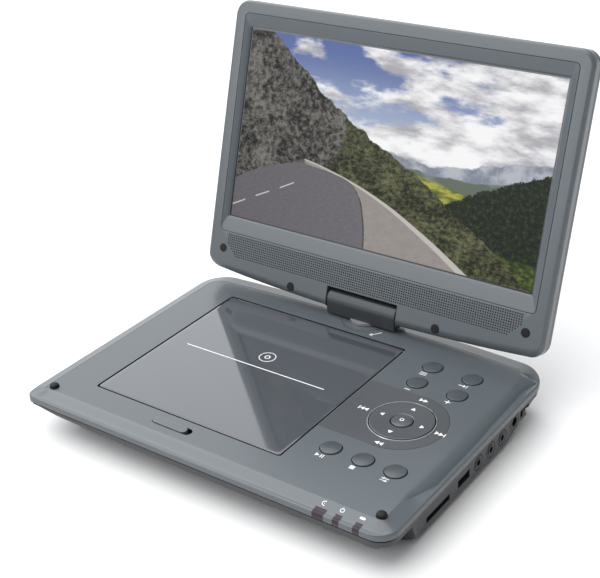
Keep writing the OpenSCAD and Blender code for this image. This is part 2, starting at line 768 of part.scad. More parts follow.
module screen_bezel() color(body_grey) on_hinge()
    difference() {
        union() {
            difference() {
                screen_form();
                translate([-200, seam_y, -50]) cube([400, 50, 300]);
                screen_slab(face_y + bezel_wall, seam_y + over, bezel_wall);
            }
            // screw bosses behind the four rubber covers
            intersection() {
                screen_slab(face_y, seam_y, bezel_wall / 2);
                for (p = cover_at) translate([p[0], face_y + 4.4, p[1]]) rotate([90, 0, 0]) cylinder(h = 3.4, r = boss_r);
            }
        }
        block([-lcd_w / 2, face_y - over, lcd_z], [lcd_w / 2, seam_y, lcd_z + lcd_h]);
        for (p = cover_at) translate([p[0], 0, p[1]]) rotate([90, 0, 0]) {
            translate([0, 0, -face_y - 3]) cylinder(h = 5, r = cover_r);
            cylinder(h = 9, r = 1.3);
        }
        pin_holes();
    }

module screen_back() color(body_grey) on_hinge()
    difference() {
        union() {
            difference() {
                screen_form();
                translate([-200, seam_y - 50, -50]) cube([400, 50, 300]);
                screen_slab(seam_y - over, back_y - back_wall, back_wall);
            }
            for (p = cover_at) translate([p[0], back_y - 1, p[1]]) rotate([90, 0, 0])
                cylinder(h = back_y - 1 - face_y - 4.6, r = 2.8);
        }
        for (p = cover_at) translate([p[0], back_y - 2, p[1]]) rotate([90, 0, 0]) cylinder(h = 12, r = 1.05);
        pin_holes();
    }

module lcd_panel() color([0.1, 0.12, 0.16]) on_hinge() {
    margin = 6;
    block([-lcd_w / 2 - margin, face_y + bezel_wall, lcd_z - 8.5],
          [lcd_w / 2 + margin, face_y + bezel_wall + 5.5, lcd_z + lcd_h + margin]);
}

module lcd_board() color(board_green) on_hinge()
    block([-60, 1.6, 60], [60, 3, 112]);

module speaker(x) color(black) on_hinge() {
    translate([x, -0.2, 16.4]) rotate([90, 0, 0]) linear_extrude(4.7) pill([40, 13.4]);
    translate([x, 3, 16.4]) rotate([90, 0, 0]) cylinder(h = 4, r = 5.5);
}

module speaker_left() speaker(-speaker_x);
module speaker_right() speaker(speaker_x);

// Knuckles on the hinge pins, each with a leaf that is fixed inside the back cover
module hinge_brackets() color(steel) on_hinge()
    for (s = [-1, 1]) difference() {
        x0 = s > 0 ? 28.4 : -37.6;
        union() {
            x_rod(3.6, x0, x0 + 9.2);
            block([x0, 3.1, 0], [x0 + 9.2, 4.4, 26]);
        }
        x_rod(pin_r + 0.04, x0 - over, x0 + 9.2 + over);
    }

module screen_bumpers() color(black) on_hinge()
    for (p = cover_at) translate([p[0], face_y + 1.4, p[1]]) rotate([90, 0, 0]) rotate_extrude()
        polygon([[0, 0], [cover_r - 0.02, 0], [cover_r - 0.02, 1.4], [cover_r - 0.5, 1.7], [0, 1.7]]);

module screen_screws() color(steel) on_hinge()
    for (p = cover_at) translate([p[0], face_y + 3, p[1]]) {
        rotate([90, 0, 0]) cylinder(h = 1.4, r = 2.4);
        translate([0, 8, 0]) rotate([90, 0, 0]) cylinder(h = 8.1, r = 1);
    }

upper_case();
lower_case();
rubber_feet();
base_bumpers();
case_screws();
main_board();
key_board();
tact_switches();
battery_pack();
disc_well();
drive_chassis();
chassis_grommets();
spindle_motor();
turntable();
pickup_sled();
guide_rods();
lead_screw();
feed_motor();
disc_lid();
lid_pins();
open_slider();
button_menu();
button_source();
button_volume_down();
button_volume_up();
button_play();
button_stop();
button_setup();
dpad_rocker();
dpad_ring();
button_enter();
swivel_block();
swivel_shaft();
swivel_retainer();
swivel_plate();
tilt_pins();
screen_bezel();
screen_back();
lcd_panel();
lcd_board();
speaker_left();
speaker_right();
hinge_brackets();
screen_bumpers();
screen_screws();
card_socket();
usb_socket();
usb_tongue();
headphone_jack();
av_output_jack();
av_input_jack();
dc_inlet();
power_switch();
power_knob();
ir_window();
power_lens();
charge_lens();
ir_receiver();
indicator_leds();
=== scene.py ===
"""Looks of the portable disc player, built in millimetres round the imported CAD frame."""
import json
import math

import bmesh
import bpy
from mathutils import Matrix, Vector
from mathutils.geometry import delaunay_2d_cdt


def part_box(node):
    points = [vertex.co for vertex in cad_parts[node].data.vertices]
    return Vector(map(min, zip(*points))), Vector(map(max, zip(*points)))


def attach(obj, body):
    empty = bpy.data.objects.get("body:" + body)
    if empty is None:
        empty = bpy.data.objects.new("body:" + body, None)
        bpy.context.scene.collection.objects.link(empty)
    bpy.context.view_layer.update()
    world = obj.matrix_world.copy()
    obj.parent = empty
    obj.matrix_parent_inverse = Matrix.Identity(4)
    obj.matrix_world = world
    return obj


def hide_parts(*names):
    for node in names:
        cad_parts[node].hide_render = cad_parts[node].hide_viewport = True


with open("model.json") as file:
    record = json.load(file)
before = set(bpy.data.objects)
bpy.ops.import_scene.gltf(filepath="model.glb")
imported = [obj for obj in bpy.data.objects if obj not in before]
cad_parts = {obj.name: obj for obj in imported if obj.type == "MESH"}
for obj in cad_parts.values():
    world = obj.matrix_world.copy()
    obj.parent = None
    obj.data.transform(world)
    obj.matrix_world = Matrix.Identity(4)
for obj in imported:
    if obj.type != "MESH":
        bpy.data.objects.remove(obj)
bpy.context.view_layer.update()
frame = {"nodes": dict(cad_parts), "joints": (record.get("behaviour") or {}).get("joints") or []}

MM = 0.001
NODES = frame["nodes"]
UPRIGHT = Matrix()


# ---- Places taken from the frame, in millimetres ----

def corners(node):
    """Lowest and highest corner of a CAD node."""
    low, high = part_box(node)
    return low / MM, high / MM


def centre(node):
    low, high = corners(node)
    return (low + high) / 2


def joint_at(name):
    """Where a joint turns."""
    joint = next(j for j in frame["joints"] if j["name"] == name)
    return Vector(joint["pos_m"]) / MM


KEYS = [
    "button_menu", "button_source", "button_volume_down", "button_volume_up",
    "button_play", "button_stop", "button_setup",
]
case_low, case_high = corners("upper_case")
lid_low, lid_high = corners("disc_lid")
HAIR = 0.06                               # keeps the finished skin just inside the CAD box
half_w = case_high.x - HAIR
front_y = case_low.y + HAIR
deck_z = case_high.z
seam_z = 19.2
deck_under = deck_z - 2.6
rear_y = case_high.y - 3.5 - HAIR
rear_bow = 3.5
front_r = 12
rear_r = 19
dpad = centre("dpad_ring")
slider_hole = Vector((centre("open_slider").x + 1.5, -99.5))
swivel = joint_at("screen_swivel")
tilt = joint_at("screen_tilt")


# ---- Shared geometry ----

def mix(a, b, t):
    return a + (b - a) * t


def ease(a, b, x):
    """0 before a, 1 after b, and smooth between."""
    t = min(1, max(0, (x - a) / (b - a)))
    return t * t * (3 - 2 * t)


def follow(table, x):
    """Value at x along a short list of (x, value) pairs, eased between neighbours."""
    for (x0, v0), (x1, v1) in zip(table, table[1:]):
        if x <= x1:
            return mix(v0, v1, ease(x0, x1, x))
    return table[-1][1]


def arc(at, r, start, sweep, count):
    """Points along an arc, from the angle start through sweep, in degrees."""
    turns = [math.radians(start + sweep * k / count) for k in range(count + 1)]
    return [(at[0] + r * math.cos(a), at[1] + r * math.sin(a)) for a in turns]


def circle(at, r, count=48, phase=0.0):
    return arc(at, r, 360 * phase / count, 360, count)[:-1]


def rounded(low, high, r, count=6):
    """Rectangle between two corners with round corners of radius r."""
    left, right = low[0] + r, high[0] - r
    front, rear = low[1] + r, high[1] - r
    spots = [(right, rear, 0), (left, rear, 90), (left, front, 180), (right, front, 270)]
    return [point for x, y, start in spots for point in arc((x, y), r, start, 90, count)]


def flat(points, z):
    return [(x, y, z) for x, y in points]


def add(name, data):
    """Puts a new object into the scene."""
    obj = bpy.data.objects.new(name, data)
    bpy.context.scene.collection.objects.link(obj)
    return obj


class Shell:
    """One closed piece: rings of points joined by bands, and flats filled round holes."""

    def __init__(self):
        self.points = []
        self.faces = []
        self.creases = []

    def ring(self, points):
        first = len(self.points)
        self.points.extend(points)
        return list(range(first, len(self.points)))

    def band(self, a, b, finish=0):
        for i in range(len(a)):
            j = (i + 1) % len(a)
            self.faces.append(((a[i], a[j], b[j], b[i]), finish))

    def stack(self, rings, finish=0):
        """Joins rings one after another, and returns the first and the last."""
        made = [self.ring(r) for r in rings]
        for a, b in zip(made, made[1:]):
            self.band(a, b, finish)
        return made[0], made[-1]

    def cap(self, ring, finish=0):
        self.faces.append((tuple(ring), finish))

    def fill(self, outer, holes=(), finish=0):
        """Fills the flat between an outer ring and the rings of its holes, seen along Z."""
        loops = [outer, *holes]
        ids = [i for loop in loops for i in loop]
        owner = [k for k, loop in enumerate(loops) for _ in loop]
        plan = [Vector(self.points[i][:2]) for i in ids]
        edges = []
        first = 0
        for loop in loops:
            edges += [(first + k, first + (k + 1) % len(loop)) for k in range(len(loop))]
            first += len(loop)
        result = delaunay_2d_cdt(plan, edges, [], 1, 1e-6)
        for triangle in result[2]:
            at = [result[3][v][0] for v in triangle]
            inside_hole = owner[at[0]] > 0 and len({owner[k] for k in at}) == 1
            if not inside_hole:
                self.faces.append((tuple(ids[k] for k in at), finish))

    def build(self, name, place=UPRIGHT, sharp=None):
        """Makes the object, flat or smooth up to the angle sharp. place is in millimetres."""
        bm = bmesh.new()
        verts = [bm.verts.new((place @ Vector(p)) * MM) for p in self.points]
        for indices, finish in self.faces:
            face = bm.faces.new([verts[i] for i in indices])
            face.material_index = finish
            face.smooth = sharp is not None
        bmesh.ops.recalc_face_normals(bm, faces=bm.faces)
        if sharp is not None:
            for edge in bm.edges:
                edge.smooth = edge.calc_face_angle(0) < math.radians(sharp)
        for a, b in self.creases:
            edge = bm.edges.get((verts[a], verts[b]))
            if edge:
                edge.smooth = False
        mesh = bpy.data.meshes.new(name)
        bm.to_mesh(mesh)
        bm.free()
        return add(name, mesh)

    def piece(self, name, body, slot, materials, place=UPRIGHT, stands_for=(), sharp=40, weighted=True):
        """Makes a finished piece, that rides on its body and stands for CAD nodes."""
        obj = self.build(name, place, sharp)
        for item in materials:
            obj.data.materials.append(item)
        if weighted:
            even = obj.modifiers.new("even", "WEIGHTED_NORMAL")
            even.keep_sharp = True
        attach(obj, body)
        if stands_for:
            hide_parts(*stands_for)
        return obj

    def plain(self, name, body, slot, material, **more):
        """A small flat-sided piece of one material."""
        return self.piece(name, body, slot, [material], weighted=False, **more)

def turned(profile, at, count=48):
    """A turned solid from (radius, height) pairs that start and end on the axis."""
    shell = Shell()
    rings = [flat(circle(at, r, count), z) for r, z in profile[1:-1]]
    first, last = shell.stack(rings)
    for ring, z in ((first, profile[0][1]), (last, profile[-1][1])):
        middle = shell.ring([(at[0], at[1], z)])[0]
        for i in range(count):
            shell.faces.append(((ring[i], ring[(i + 1) % count], middle), 0))
    return shell


def hollow_turned(profile, at, count=96):
    """A turned ring from a closed loop of (radius, height) pairs."""
    shell = Shell()
    first, last = shell.stack([flat(circle(at, r, count), z) for r, z in profile])
    shell.band(last, first)
    return shell


def plate(outline, z0, z1, holes=()):
    """A flat plate with a given outline between two heights."""
    shell = Shell()
    low = [shell.ring(flat(loop, z0)) for loop in (outline, *holes)]
    high = [shell.ring(flat(loop, z1)) for loop in (outline, *holes)]
    for a, b in zip(low, high):
        shell.band(a, b)
    shell.fill(low[0], low[1:])
    shell.fill(high[0], high[1:])
    return shell


# ---- Materials ----

def new_material(name):
    material = bpy.data.materials.new(name)
    material.use_nodes = True
    tree = material.node_tree
    return material, tree, tree.nodes["Principled BSDF"]


def node(tree, kind, settings=(), **inputs):
    """A shader node. Its inputs are given as plain values or as the outputs that feed them."""
    made = tree.nodes.new("ShaderNode" + kind)
    for name, value in settings:
        setattr(made, name, value)
    for name, value in inputs.items():
        socket = made.inputs[name.replace("_", " ")]
        if isinstance(value, bpy.types.NodeSocket):
            tree.links.new(value, socket)
        else:
            socket.default_value = value
    return made


def blend(tree, a, b, amount):
    """A colour between two, by an amount from 0 to 1."""
    made = node(tree, "Mix", [("data_type", "RGBA")], A=a, B=b, Factor=amount)
    return made.outputs["Result"]


def surface(name, colour, rough, vary, patch, grain=0, metal=0, coat=0, specular=0.5, swing=0.08):
    """A solid finish: slow colour variation, fine uneven gloss, and moulded or brushed grain."""
    material, tree, shader = new_material(name)
    spot = node(tree, "TexCoord").outputs["Object"]
    slow = node(tree, "TexNoise", Scale=patch, Detail=2, Vector=spot).outputs["Fac"]
    dark = (*[c * (1 - vary) for c in colour], 1)
    light = (*[min(1, c * (1 + vary)) for c in colour], 1)
    tree.links.new(blend(tree, dark, light, slow), shader.inputs["Base Color"])
    gloss = node(tree, "MapRange", To_Min=max(0.02, rough - swing), To_Max=rough + swing, Value=slow)
    tree.links.new(gloss.outputs["Result"], shader.inputs["Roughness"])
    if grain:
        fine = node(tree, "TexNoise", Scale=2400, Detail=2, Vector=spot)
        bump = node(tree, "Bump", Strength=grain, Distance=0.00006, Height=fine.outputs["Fac"])
        tree.links.new(bump.outputs["Normal"], shader.inputs["Normal"])
    shader.inputs["Metallic"].default_value = metal
    shader.inputs["Specular IOR Level"].default_value = specular
    shader.inputs["Coat Weight"].default_value = coat
    shader.inputs["Coat Roughness"].default_value = 0.04
    return material


class Sum:
    """A number worked out by shader nodes, written as plain arithmetic."""

    def __init__(self, tree, socket):
        self.tree = tree
        self.socket = socket

    def _math(self, kind, *others):
        node = self.tree.nodes.new("ShaderNodeMath")
        node.operation = kind
        for slot, value in zip(node.inputs, (self, *others)):
            if isinstance(value, Sum):
                self.tree.links.new(value.socket, slot)
            else:
                slot.default_value = value
        return Sum(self.tree, node.outputs[0])

    def __add__(self, other):
        return self._math("ADD", other)

    def __sub__(self, other):
        return self._math("SUBTRACT", other)

    def __mul__(self, other):
        return self._math("MULTIPLY", other)

    def __rsub__(self, other):
        return self._math("MULTIPLY", -1.0)._math("ADD", other)

    __radd__ = __add__
    __rmul__ = __mul__

    def sine(self):
        return self._math("SINE")

    def size(self):
        return self._math("ABSOLUTE")

    def rise(self, low, high):
        """0 below low, 1 above high, and smooth between."""
        smooth = [("interpolation_type", "SMOOTHSTEP")]
        made = node(self.tree, "MapRange", smooth, Value=self.socket, From_Min=low, From_Max=high)
        return Sum(self.tree, made.outputs["Result"])

def parts(tree, vector):
    """The three parts of a vector."""
    split = node(tree, "SeparateXYZ", Vector=vector)
    return [Sum(tree, split.outputs[axis]) for axis in "XYZ"]


class Painter:
    """Paints layers of colour over each other on a flat picture, by node arithmetic."""

    def __init__(self, tree):
        self.tree = tree
        self.uv = node(tree, "TexCoord").outputs["UV"]
        self.x, self.y, _ = parts(tree, self.uv)
        self.colour = None

    def noise(self, across, up, detail=6, rough=0.6, seed=0.0):
        """Cloudy noise from 0 to 1, with a different grain across and up."""
        shift = (seed, seed * 0.7, 0)
        spot = node(self.tree, "Mapping", Scale=(across, up, 1), Location=shift, Vector=self.uv)
        made = node(self.tree, "TexNoise", Scale=1, Detail=detail, Roughness=rough, Vector=spot.outputs[0])
        return Sum(self.tree, made.outputs["Fac"])

    def shade(self, dark, light, amount):
        """A colour between two, each a plain colour or a painted one."""
        sides = [(*side, 1) if isinstance(side, tuple) else side for side in (dark, light)]
        return blend(self.tree, *sides, amount.socket)

    def along(self, value, points):
        """A smooth curve through (place, height) points, read at a value from 0 to 1."""
        made = self.tree.nodes.new("ShaderNodeFloatCurve")
        curve = made.mapping.curves[0]
        made.mapping.use_clip = False
        for spot, (at, height) in zip(curve.points, (points[0], points[-1])):
            spot.location = (at, height)
        for at, height in points[1:-1]:
            curve.points.new(at, height)
        made.mapping.update()
        self.tree.links.new(value.socket, made.inputs["Value"])
        return Sum(self.tree, made.outputs["Value"])

    def below(self, points, soft, waver=0):
        """1 under a curve across the picture, 0 above it."""
        return (self.along(self.x, points) + waver - self.y).rise(0, soft)

    def layer(self, colour, where):
        """Lays a colour over what is painted so far, where the amount is above 0."""
        self.colour = self.shade(self.colour, colour, where)


def landscape():
    """The lit panel: a made-up mountain road under clouds, painted from noise and curves."""
    material, tree, shader = new_material("lcd_picture")
    p = Painter(tree)
    x, y = p.x, p.y
    rough = p.noise(16, 9, 8)
    coarse = p.noise(5, 3, 5, seed=3.1)
    # blue sky under banks of cloud, paler near the ground
    p.colour = p.shade((0.42, 0.50, 0.66), (0.10, 0.15, 0.36), y.rise(0.5, 1.0))
    billow = p.noise(4.2, 6.0, 9, 0.56, seed=7.4)
    tone = p.noise(5, 8, 7, 0.6, seed=1.7)
    cloud = p.shade((0.40, 0.40, 0.43), (0.95, 0.95, 0.96), tone.rise(0.36, 0.60))
    p.layer(cloud, (billow + x.rise(0.35, 0.8) * 0.14 + (1 - y) * 0.12).rise(0.50, 0.62))
    # pale peaks far off, then the valley
    peaks = p.shade((0.22, 0.25, 0.31), (0.46, 0.49, 0.54), rough.rise(0.4, 0.62))
    skyline = [(0, 0.62), (0.5, 0.52), (0.7, 0.50), (0.85, 0.56), (1, 0.61)]
    p.layer(peaks, p.below(skyline, 0.012, (rough - 0.5) * 0.07))
    hills = p.shade((0.12, 0.15, 0.12), (0.26, 0.30, 0.27), coarse.rise(0.4, 0.6))
    p.layer(hills, p.below([(0, 0.55), (0.55, 0.46), (0.75, 0.45), (1, 0.52)], 0.01, (rough - 0.5) * 0.05))
    meadow = p.shade((0.10, 0.13, 0.02), (0.42, 0.40, 0.08), p.noise(18, 30, 6, 0.6, 5.5).rise(0.38, 0.6))
    p.layer(meadow, p.below([(0, 0.4), (0.55, 0.44), (0.8, 0.38), (1, 0.3)], 0.02))
    # woods on the right and the bank in front of them
    leaves = p.noise(75, 42, 6, 0.75, 9.0).rise(0.45, 0.7)
    treetops = [(0, 0), (0.70, 0.31), (0.76, 0.37), (0.85, 0.45), (1, 0.56)]
    wood = p.below(treetops, 0.008, (p.noise(60, 20, 5, 0.7, 4.4) - 0.5) * 0.09) * x.rise(0.66, 0.7)
    p.layer(p.shade((0.005, 0.010, 0.005), (0.040, 0.060, 0.020), leaves), wood)
    bank = p.shade((0.015, 0.030, 0.006), (0.13, 0.17, 0.035), p.noise(40, 46, 7, 0.75, 4.0).rise(0.42, 0.66))
    p.layer(bank, p.below([(0, 0.3), (0.6, 0.27), (0.8, 0.18), (1, 0.15)], 0.03, (coarse - 0.5) * 0.16))
    # the mountainside: bare cliff on the left, scrub lower down
    ridge = [(0, 1.16), (0.08, 1), (0.19, 0.85), (0.31, 0.7), (0.44, 0.57), (0.56, 0.47), (0.7, 0.33), (1, 0)]
    side = p.below(ridge, 0.008, (rough - 0.5) * 0.10)
    bush = (p.noise(64, 50, 9, 0.76, 2.2) * 0.7 + rough * 0.3).rise(0.42, 0.64)
    p.layer(p.shade((0.006, 0.010, 0.004), (0.16, 0.165, 0.075), bush), side)
    stone = p.noise(62, 34, 10, 0.78, 6.1) * 0.6 + rough * 0.2 + coarse * 0.2
    rock = p.shade((0.003, 0.003, 0.004), (0.20, 0.19, 0.17), stone.rise(0.44, 0.60))
    p.layer(rock, side * (0.36 + (coarse - 0.5) * 0.7 + (rough - 0.5) * 0.4 - x).rise(0, 0.03))
    # the road, its dashed line, and the pale wall round the bend
    verge = [(0, 0.21), (0.1, 0.30), (0.2, 0.355), (0.25, 0.37), (0.5, 0.37), (1, 0.37)]
    bend = [(0, 0.475), (0.17, 0.457), (0.26, 0.435), (0.315, 0.40), (0.345, 0.33), (0.37, 0.23), (1, 0.2)]
    foot = p.along(y, bend)
    grit = p.noise(60, 150, 4, 0.6, 1.1) + (x - 0.25) * 0.5
    asphalt = p.shade((0.085, 0.080, 0.092), (0.185, 0.175, 0.195), grit)
    p.layer(asphalt, p.below(verge, 0.006) * (foot - x).rise(0, 0.004))
    cap = p.along(x, [(0, 0.5), (0.2, 0.40), (0.3, 0.37), (0.48, 0.285), (0.65, 0.155), (0.81, 0), (1, -0.2)])
    inner = p.shade((0.22, 0.195, 0.19), (0.38, 0.35, 0.33), p.noise(30, 30, 6, 0.7, 3.3))
    on_wall = (cap - y).rise(0, 0.004) * (x - foot).rise(0, 0.004) * x.rise(0.235, 0.245)
    p.layer(inner, on_wall)
    p.layer((0.52, 0.49, 0.46), on_wall * (y - cap + 0.012 + x.rise(0.3, 0.9) * 0.03).rise(0, 0.005))
    line = p.along(x, [(0, 0.06), (0.1, 0.15), (0.18, 0.22), (0.24, 0.28), (0.3, 0.36), (1, 0.4)])
    dash = (x * 75).sine().rise(-0.3, -0.1)
    p.layer((0.55, 0.55, 0.56), (0.005 - (y - line).size()).rise(0, 0.003) * (0.25 - x).rise(0, 0.01) * dash)
    # a lit panel under dark glass
    shader.inputs["Base Color"].default_value = (0.01, 0.01, 0.01, 1)
    tree.links.new(p.colour, shader.inputs["Emission Color"])
    shader.inputs["Emission Strength"].default_value = 0.95
    shader.inputs["Roughness"].default_value = 0.22
    shader.inputs["Specular IOR Level"].default_value = 0.08
    return material


# colour, roughness, how much the colour varies, size of its patches, grain
body_grey = surface("body_grey", (0.086, 0.101, 0.112), 0.25, 0.02, 9, 0.04, swing=0.02)
case_grey = surface("case_grey", (0.036, 0.037, 0.040), 0.40, 0.04, 14, 0.30, swing=0.03)
back_grey = surface("back_grey", (0.086, 0.100, 0.108), 0.26, 0.02, 9, 0.04, swing=0.02)
lid_grey = surface("lid_grey", (0.058, 0.066, 0.077), 0.07, 0.02, 8, coat=0.8, swing=0.01)
panel_grey = surface("panel_grey", (0.070, 0.077, 0.085), 0.20, 0.02, 14, 0.03, swing=0.02)
key_grey = surface("key_grey", (0.057, 0.067, 0.076), 0.20, 0.03, 40, 0.03, swing=0.02)
well_grey = surface("well_grey", (0.09, 0.095, 0.10), 0.42, 0.06, 50, 0.35)
rubber_black = surface("rubber_black", (0.006, 0.006, 0.007), 0.62, 0.15, 300, 0.4, specular=0.3)
black_plastic = surface("black_plastic", (0.010, 0.010, 0.011), 0.38, 0.15, 120, 0.2)
gunmetal = surface("gunmetal", (0.042, 0.046, 0.050), 0.33, 0.04, 60, 0.08, metal=0.4, swing=0.03)
satin = surface("satin", (0.30, 0.31, 0.33), 0.38, 0.04, 120, 0.1, metal=0.4)
bright_metal = surface("bright_metal", (0.72, 0.73, 0.75), 0.30, 0.05, 160, 0.1, metal=1.0)
dull_steel = surface("dull_steel", (0.42, 0.42, 0.43), 0.34, 0.08, 180, 0.2, metal=1.0)
white_print = surface("white_print", (0.80, 0.81, 0.81), 0.45, 0.03, 200, 0.05)
white_plastic = surface("white_plastic", (0.78, 0.78, 0.76), 0.35, 0.04, 160, 0.1)
board_green = surface("board_green", (0.012, 0.075, 0.030), 0.34, 0.3, 240, 0.3)
foil_blue = surface("foil_blue", (0.03, 0.06, 0.16), 0.30, 0.15, 70, 0.1)
dark_glass = surface("dark_glass", (0.004, 0.004, 0.005), 0.08, 0.1, 20, coat=0.5, swing=0.01)
tinted = surface("tinted", (0.030, 0.018, 0.026), 0.14, 0.15, 240, specular=0.22, swing=0.02)
led_lens = surface("led_lens", (0.55, 0.62, 0.56), 0.15, 0.05, 300, coat=0.5)
# near-black for the speaker holes, the bezel's groove and the card socket: painted shade in these recesses
hole_shade = surface("hole_shade", (0.004, 0.004, 0.005), 0.9, 0.2, 200, 0.1)
# near-black used in gaps, a groove and hole walls as painted shade, and for fine dark lines on the deck
seam_shade_and_line = surface("seam_shade_and_line", (0.010, 0.011, 0.012), 0.6, 0.1, 90, 0.1, specular=0.2)


# ---- Base outline ----

class Mark:
    """A point of an outline, with its outward normal."""

    def __init__(self, x, y, nx, ny):
        self.x = x
        self.y = y
        self.nx = nx
        self.ny = ny
        self.step_x = nx
        self.step_y = ny


def marks_on(points, normal):
    return [Mark(x, y, *normal) for x, y in points]


def run(a, b, count):
    """Points from a up to, and not including, b."""
    return [(mix(a[0], b[0], k / count), mix(a[1], b[1], k / count)) for k in range(count)]


def corner(cx, cy, r, start, count):
    """Marks of a quarter circle that turns to the left from the angle start, in degrees."""
    turns = [math.radians(start + 90 * k / count) for k in range(count)]
    return [Mark(cx + r * math.cos(a), cy + r * math.sin(a), math.cos(a), math.sin(a)) for a in turns]


def tight_corner(cx, cy, r, tight, start, count):
    """Marks of a corner with the radius tight, at the turns of one with the larger radius r."""
    marks = []
    back = r - tight
    for m in corner(cx, cy, r, start, count):
        u, v = abs(m.nx), abs(m.ny)
        far = r / max(u, v)
        if far * min(u, v) > back:
            far = back * (u + v) + math.sqrt((back * (u + v)) ** 2 - 2 * back ** 2 + tight ** 2)
        m.x = cx + m.nx * far
        m.y = cy + m.ny * far
        m.step_x = m.nx * far / r
        m.step_y = m.ny * far / r
        marks.append(m)
    return marks


def bowed(points, rise, half, sign=1):
    """Pushes points of a straight edge out into a shallow curve."""
    return [(x, y + sign * rise * (1 - (x / half) ** 2)) for x, y in points]


def base_outline():
    fx = half_w - front_r
    rx = half_w - rear_r
    fy = front_y + front_r
    ry = rear_y - rear_r
    marks = marks_on(run((-fx, front_y), (fx, front_y), 76), (0, -1))
    marks += corner(fx, fy, front_r, -90, 14)
    marks += marks_on(run((half_w, fy), (half_w, ry), 60), (1, 0))
    marks += corner(rx, ry, rear_r, 0, 24)
    marks += marks_on(bowed(run((rx, rear_y), (-rx, rear_y), 60), rear_bow, rx), (0, 1))
    marks += corner(-rx, ry, rear_r, 90, 20)
    marks += marks_on(run((-half_w, ry), (-half_w, fy), 50), (-1, 0))
    marks += tight_corner(-fx, fy, front_r, 4.5, 180, 24)
    return marks


BASE = base_outline()


def number(value, mark):
    return value(mark) if callable(value) else value


def sided(front, rear, left, right):
    """A value that changes smoothly round the corners from side to side."""
    def value(m):
        across = number(right if m.nx > 0 else left, m)
        along = number(rear if m.ny > 0 else front, m)
        return m.nx ** 2 * across + m.ny ** 2 * along
    return value


def level(inset, height):
    """A ring of the base, drawn in by inset at a height. Past 9 mm it shrinks, to keep its corners."""
    middle = (front_y + rear_y) / 2
    ring = []
    for m in BASE:
        d = number(inset, m)
        near = min(d, 9)
        x = (m.x - m.step_x * near) * (1 - (d - near) / (half_w - 9))
        y = middle + (m.y - m.step_y * near - middle) * (1 - (d - near) / (rear_y - middle - 9))
        ring.append((x, y, number(height, m)))
    return ring


def cut_in(front, rear, left, right, height):
    """A ring drawn in by a different amount on each side."""
    ring = []
    for m in BASE:
        dx = right if m.nx > 0 else left
        dy = rear if m.ny > 0 else front
        ring.append((m.x - m.step_x * dx, m.y - m.step_y * dy, height))
    return ring


# Gutter along the right side: how far in its crisp line runs, and how low, from the rear to the front
GUTTER_INSET = [(-92, 9.5), (-84, 7.6), (-76, 5.4), (-64, 3.2), (-30, 3.3), (10, 4.6), (38, 5.4), (45.5, 4.4)]
GUTTER_Z = [(-92, deck_z), (-80, deck_z - 1.9), (-62, deck_z - 3.7), (45.5, deck_z - 3.6)]
# The same line round the rear right corner, by the angle from +X
CORNER_INSET = [(0, 4.4), (17, 1.9), (27, 6.2), (48, 10.4), (75, 9.4), (90, 9.4)]
CORNER_Z = [(0, deck_z - 3.6), (17, deck_z - 3.3), (27, deck_z - 1.6), (48, deck_z), (90, deck_z)]


def along_gutter(table, corner_table, others):
    """A value that follows one table along the right side, and another round the rear right corner."""
    def value(m):
        if m.nx > 0 and m.ny > 0:
            return follow(corner_table, math.degrees(math.atan2(m.ny, m.nx)))
        return follow(table, m.y) if m.nx > 0.999 else others(m)
    return value


crease_inset = along_gutter(GUTTER_INSET, CORNER_INSET, sided(9.5, 9.4, 7, 9.5))
crease_z = along_gutter(GUTTER_Z, CORNER_Z, lambda m: deck_z)
rim_z = sided(deck_z - 2.7, deck_z - 1.0, deck_z - 1.2, deck_z - 2.6)


def deck_inset(m):
    """Where the flat deck ends."""
    wide = sided(10.6, 10.6, 8.0, 11.0)(m)
    return max(wide, crease_inset(m) + 0.9)


def softness(m):
    """1 where the front edge falls in one soft sweep, 0 where it has a crisp crease."""
    return max(0, -m.ny) ** 2 * (1 - ease(0, 62, m.x))


def line_depth(m):
    """A fine line is drawn along the crease on the left and behind."""
    behind = max(0, m.ny) ** 2 * (1 if m.nx <= 0 else ease(0.3, 0.7, m.ny))
    return 0.16 * max(behind, max(0, -m.nx) ** 2)


def share_in_front(m):
    """1 along the front edge, falling to 0 round its corners."""
    return max(0, -m.ny) ** 2


def sweep(m, inset):
    """Height of the soft front edge, by how far in it is."""
    return mix(rim_z(m), deck_z, ease(0.12, 1.0, inset / deck_inset(m)))


def slope(t):
    """Height on the band between the rim and the crease, at a share t of the way in."""
    def value(m):
        rim = rim_z(m)
        level_band = mix(0, 0.2, share_in_front(m))
        climb = max(0, (t - level_band) / (1 - level_band))
        straight = mix(rim, crease_z(m), climb)
        return mix(straight, sweep(m, mix(0.9, crease_inset(m), t)), softness(m))
    return value


def gutter(t):
    """Height between the crease and the flat deck, at a share t of the way in."""
    def value(m):
        fall = (deck_z - crease_z(m)) * (1 - t) ** 2
        return mix(deck_z - fall, sweep(m, mix(crease_inset(m), deck_inset(m), t)), softness(m))
    return value


def rounding(size):
    """The rim's rounded edge is larger on the right."""
    return lambda m: size * mix(1, 1.25, max(0, m.nx) ** 2)


def between(a, b, t):
    return lambda m: mix(number(a, m), number(b, m), t)


def lower_by(value, drop):
    return lambda m: number(value, m) - drop


lid_gap = 0.5
lid_corner = 1.6
HOLES = {
    "lid": rounded(lid_low - Vector([lid_gap] * 3), lid_high + Vector([lid_gap] * 3), 1.9),
    "dpad": circle(dpad, 18.9, 96),
    "slider": rounded(slider_hole - Vector((14, 3)), slider_hole + Vector((14, 3)), 2.99, 8),
}
for key in KEYS:
    HOLES[key] = circle(centre(key), 6.4, 48)


def grown(loop, by):
    """A convex loop moved outwards by a distance."""
    count = len(loop)
    out = []
    for i, (x, y) in enumerate(loop):
        ax, ay = loop[i - 1]
        bx, by_ = loop[(i + 1) % count]
        tx, ty = bx - ax, by_ - ay
        size = math.hypot(tx, ty)
        out.append((x + by * ty / size, y - by * tx / size))
    return out


